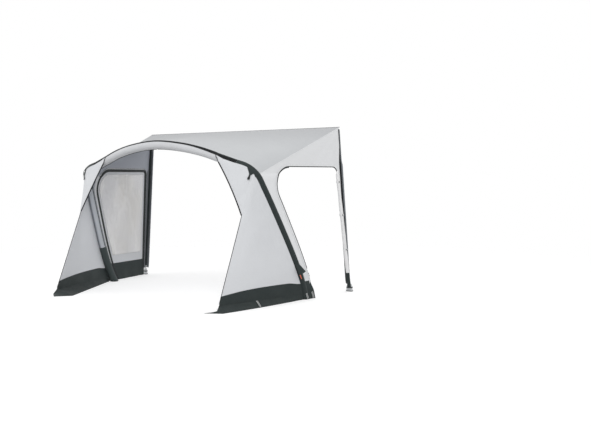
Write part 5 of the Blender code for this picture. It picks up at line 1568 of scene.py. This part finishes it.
# Shoulder gussets, storm straps and their ladder buckles
gusset = {"length": 0.080, "half": 0.086, "rise": 0.100, "tip": 0.15, "shift": 0.040, "start": 0.007,
          "lift": thick + 2 * gap + 0.0028, "rows": 24, "columns": 18, "stitches": (0.07, 0.93)}
strapping = {"width": 0.025, "thick": 0.0016, "length": 0.060, "lean": 0.065, "root": 0.0016,
             "back": 0.010, "buckle": 0.026, "wall": 0.0045, "end": 0.006, "rail": 0.0021, "bar": 0.0019,
             "middleBar": 0.0016, "middleLift": 0.0026}
for side, hand in hands:
    net = wings[hand]

    def onWing(column, run, lift):
        def walk(row):
            left = run
            for a, b in zip(row, row[1:]):
                if left <= (b - a).length:
                    return mix(a, b, left / (b - a).length)
                left -= (b - a).length
            return row[-1]

        n = min(int(column), len(net) - 2)
        spots = walk(net[n]), walk(net[n + 1])
        run += 0.004
        further = walk(net[n]), walk(net[n + 1])
        point = mix(spots[0], spots[1], column - n)
        ahead = mix(further[0], further[1], column - n) - point
        face = ahead.cross(spots[1] - spots[0]).normalized()
        face *= math.copysign(1.0, face.dot(Vector((0.3 * side, -1.0, 0.5))))
        return point + face * lift, face, ahead.normalized()

    starts = runOf([row[0] for row in net])

    def columnOf(run):
        n = max(k for k in range(len(starts) - 1) if starts[k] <= run)
        return n + (run - starts[n]) / (starts[n + 1] - starts[n])

    middleRun = starts[(shoulder - station["wingTop"]) * wing["density"]] - gusset["rise"]
    middle = columnOf(middleRun)
    rows = []
    for n in range(gusset["rows"] + 1):
        row = []
        for m in range(gusset["columns"] + 1):
            t = m / gusset["columns"]
            narrow = mix(gusset["tip"], 1.0, max(1 - m / 15, 0.0) ** 1.25)
            run = middleRun - gusset["shift"] * (1 - t) ** 1.5
            run += (2 * n / gusset["rows"] - 1) * gusset["half"] * narrow
            row.append(onWing(columnOf(run), gusset["start"] + gusset["length"] * t, gusset["lift"])[0])
        rows.append(row)
    sheet(hand + "_gusset_cloth", rows, "dark", [hand + "_wing_upper_cloth"],
          replaced=[hand + "_corner_gusset"])
    lift = onWing(middle, 0.01, 0)[1] * 0.0016
    for share in gusset["stitches"]:
        seam("canopy", [mix(a, b, share) + lift for a, b in zip(rows[0], rows[-1])], "darkThread")
    tip, face, down = onWing(middle, gusset["start"] + gusset["length"], gusset["lift"])
    across = down.cross(face)
    raised = tip + face * (thick / 2 + gap + strapping["thick"] / 2) - down * strapping["back"]
    down = (down + face * strapping["lean"]).normalized()
    face = across.cross(down) * math.copysign(1.0, across.cross(down).dot(face))
    line = [raised + down * mix(strapping["root"], strapping["length"], t) + face * 0.0003 * math.sin(t * 9)
            for t in steps(0, 1, 24)]
    own(sweep(hand + "_storm_strap_webbing", line, stripOf(strapping["width"], strapping["thick"]),
              "webbing", face), hand + "_strap", [hand + "_storm_strap"])
    spot = raised + down * (strapping["length"] - strapping["buckle"] / 2 - strapping["end"])
    wide, long = strapping["width"] / 2 + strapping["wall"], strapping["buckle"] / 2
    name = hand + "_ladder_buckle"
    bars = []
    shares, rail, bar = (-1, -0.9, 0.9, 1), strapping["rail"], strapping["bar"]
    for x in (-1, 1):  # the side rails
        bars.append(([spot + across * x * (wide - rail) + down * long * s for s in shares], rail))
    for s, lifted, radius in ((-0.92, 0.0, bar), (0.0, strapping["middleLift"], strapping["middleBar"]),
                              (0.92, 0.0, bar)):  # the bars that the webbing runs round
        bars.append(([spot + down * long * s * 0.96 + across * x * wide * 0.97 + face * lifted
                      for x in shares], radius))
    solid = bmesh.new()
    for k, (points, radius) in enumerate(bars):
        piece = sweep(f"bar{k}", smoothLine(points, 8), ringOf(radius, 10), "black")
        solid.from_mesh(piece.data)
        bpy.data.objects.remove(piece, do_unlink=True)
    mesh = meshOf(solid, name)
    mesh.shade_smooth()
    own(put(mesh, name, "black"), hand + "_buckle", [hand + "_strap_buckle"])
print("straps made")

# Valve on the right leg: the frame's own body, cap and plunger, grip ribs, flap and tag
valve = {"station": station["cuff"] + 1, "turn": math.radians(-25.0), "radius": 0.018, "wall": 0.0022,
         "flap": 0.125, "hinge": 0.046, "spread": math.radians(24.0), "rise": math.radians(30.0),
         "columns": 28, "rows": 24, "tag": (0.011, 0.0013), "tagLength": 0.055, "ribs": 36,
         "ribHeight": 0.012, "rib": 0.0008, "curl": 0.0025, "flutter": 0.0020, "tagSway": 0.0022}
radial = heading(valve["station"]).cross(archNormal).normalized()
valveOut = (math.cos(valve["turn"]) * radial + math.sin(valve["turn"]) * archNormal).normalized()
capInner = valve["radius"] + gap
valveUp = -heading(valve["station"])
flapHinge = capInner + valve["wall"] + valve["hinge"]
flapStart = clothRadius + thick + gap - 0.0006
rows = []
for n in range(valve["columns"] + 1):
    turn = valve["turn"] + mix(-valve["spread"], valve["spread"], n / valve["columns"])
    out = math.cos(turn) * radial + math.sin(turn) * archNormal
    row = []
    for t in steps(0.0, 1.0, valve["rows"]):
        curl = valve["curl"] * math.sin(math.pi * t) * math.cos(2.6 * (n / valve["columns"] - 0.5))
        curl += valve["flutter"] * t * noise.noise(Vector((n / 7, t * 2, 5.0)))
        row.append(centre(valve["station"]) + valveUp * (flapHinge - valve["flap"] * t)
                   + out * (flapStart + valve["flap"] * t * math.tan(valve["rise"]) + curl))
    rows.append(row)
sheet("valve_flap_cloth", rows, "dark", ["right_outer_band_cloth"], "flap", ["valve_flap"], "hung")
for line in (rows[1][1:-1], rows[-2][1:-1], [row[1] for row in rows[1:-1]]):
    seam("flap", [spot + valveOut * thick * 0.7 for spot in line], "darkThread")
corner = rows[2][-1]
drop = (corner - rows[2][-3]).normalized()
across = (rows[6][-1] - rows[0][-1]).normalized()
out = across.cross(-drop).normalized()
line = [corner + drop * (gap + valve["tagLength"] * t) + out * valve["tagSway"] * math.sin(t * 5.0)
        for t in steps(0.0, 1.0, 26)]
own(sweep("valve_tag_webbing", line, stripOf(*valve["tag"]), "tag", out), "flap", ["valve_tag"])

gripRibs = growTree("gripRibs", {"Ribs": "Int", "Ring": "Float", "Height": "Float", "Rib": "Float"}, {
    "ring": ("GeometryNodeMeshCircle", {}, {}),
    "rib": ("GeometryNodeMeshCylinder", {}, {"Vertices": 8})}, """
        in.Ribs > ring.Vertices
        in.Ring > ring.Radius
        in.Rib > rib.Radius
        in.Height > rib.Depth
        ring.Mesh > copies.Points
        rib.Mesh > copies.Instance""")
ribs = grow("valve_cap_ribs", [[(0, 0, 0)]], "black", gripRibs, Ribs=valve["ribs"],
            Height=valve["ribHeight"], Rib=valve["rib"], Ring=capInner + valve["wall"] - 0.0002)
low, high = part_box("valve_cap")
turned = Matrix((valveUp.cross(valveOut), valveUp, valveOut)).transposed().to_4x4()
turned.translation = (Vector(low) + Vector(high)) / 2
ribs.data.transform(turned)
own(ribs, "cap")

# The frame's own hard parts keep their shape and take a finish
kept = {"left_beam_foot": "black", "right_beam_foot": "black", "left_rear_pole": "metal",
        "right_rear_pole": "metal", "valve_body": "black", "valve_cap": "black", "valve_plunger": "grey",
        "peg_tab_rear": "grey", "peg_tab_leg": "grey", "peg_tab_front": "grey"}
for name, kind in kept.items():
    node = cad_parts[name]
    node.data.materials.clear()
    node.data.materials.append(finish[kind])

stitch = {"pitch": 0.0046, "thread": 0.00055}
for number, ((body, kind), lines) in enumerate(sorted(seams.items())):
    own(grow(f"stitches_{body}_{kind}", lines, kind, stitchRow, Pitch=stitch["pitch"],
             Thread=stitch["thread"], Seed=number), body)
print("stitches sewn:", sum(len(lines) for lines in seams.values()), "rows")

# Floor, light and camera. The kinds of ray are those from the camera, off gloss and through film
rayKinds = (0, 3, 6)
mesh = bpy.data.meshes.new("studio_floor")
half = backdrop["floorSize"] / 2
mesh.from_pydata([(-half, -half, 0), (half, -half, 0), (half, half, 0), (-half, half, 0)], [], [(0, 1, 2, 3)])
floor = bpy.data.objects.new("studio_floor", mesh)
bpy.context.scene.collection.objects.link(floor)
made = Finish("studio_floor", Base_Color=(backdrop["floorColor"],) * 3, Roughness=0.9,
              Emission_Strength=backdrop["floorGlow"])
# It glows only where the camera sees it, directly, in gloss or through film
seen = sum((made.node("LightPath", output=output) for output in rayKinds[1:]),
           made.node("LightPath", output=rayKinds[0]))
made.set("Emission Color", made.node("Clamp", inputs=[seen]))
away = made.node("VectorMath", {"operation": "LENGTH"}, [made.place()], output=1)
made.set("Alpha", made.ramp(away, backdrop["fadeFrom"], backdrop["fadeTo"], 1.0, 0.0))
mesh.materials.append(made.material)

world = bpy.data.worlds.new("studio")
bpy.context.scene.world = world
world.use_nodes = True
studio = Nodes(world.node_tree, "Background")
studio.set("Color", (1, 1, 1))
paths = studio.node("LightPath").socket.node.outputs
rays = [Link(studio, paths[kind]) for kind in rayKinds]
seen = studio.node("Math", {"operation": "MAXIMUM"}, rays[:2])
seen = studio.node("Math", {"operation": "MAXIMUM"}, [seen, rays[2]])
studio.set("Strength", studio.node("MapRange", inputs={"Value": seen, "To Min": backdrop["light"],
                                                       "To Max": backdrop["seen"]}))

for name, lamp in lamps.items():
    data = bpy.data.lights.new(name, "AREA")
    data.energy, data.size = lamp["power"], lamp["size"]
    light = bpy.data.objects.new(name, data)
    bpy.context.scene.collection.objects.link(light)
    light.location = lamp["place"]
    light.rotation_euler = (Vector((0, 0, 1.0)) - light.location).to_track_quat("-Z", "Y").to_euler()

yaw, pitch, tilt = camera["turn"], camera["pitch"], camera["roll"]
forward = Vector((-math.sin(yaw) * math.cos(pitch), math.cos(yaw) * math.cos(pitch), math.sin(pitch)))
right = Vector((math.cos(yaw), math.sin(yaw), 0))
upward = right.cross(forward)
right, upward = (right * math.cos(tilt) + upward * math.sin(tilt),
                 upward * math.cos(tilt) - right * math.sin(tilt))
view = bpy.data.cameras.new("view")
view.sensor_width, view.lens, view.clip_end = 36.0, camera["lens"], 200.0
eye = bpy.data.objects.new("view", view)
bpy.context.scene.collection.objects.link(eye)
stand = Matrix((right, upward, -forward)).transposed().to_4x4()
stand.translation = camera["place"]
eye.matrix_world = stand
bpy.context.scene.camera = eye
bpy.context.scene.view_settings.view_transform = "Standard"

print("scene finished")
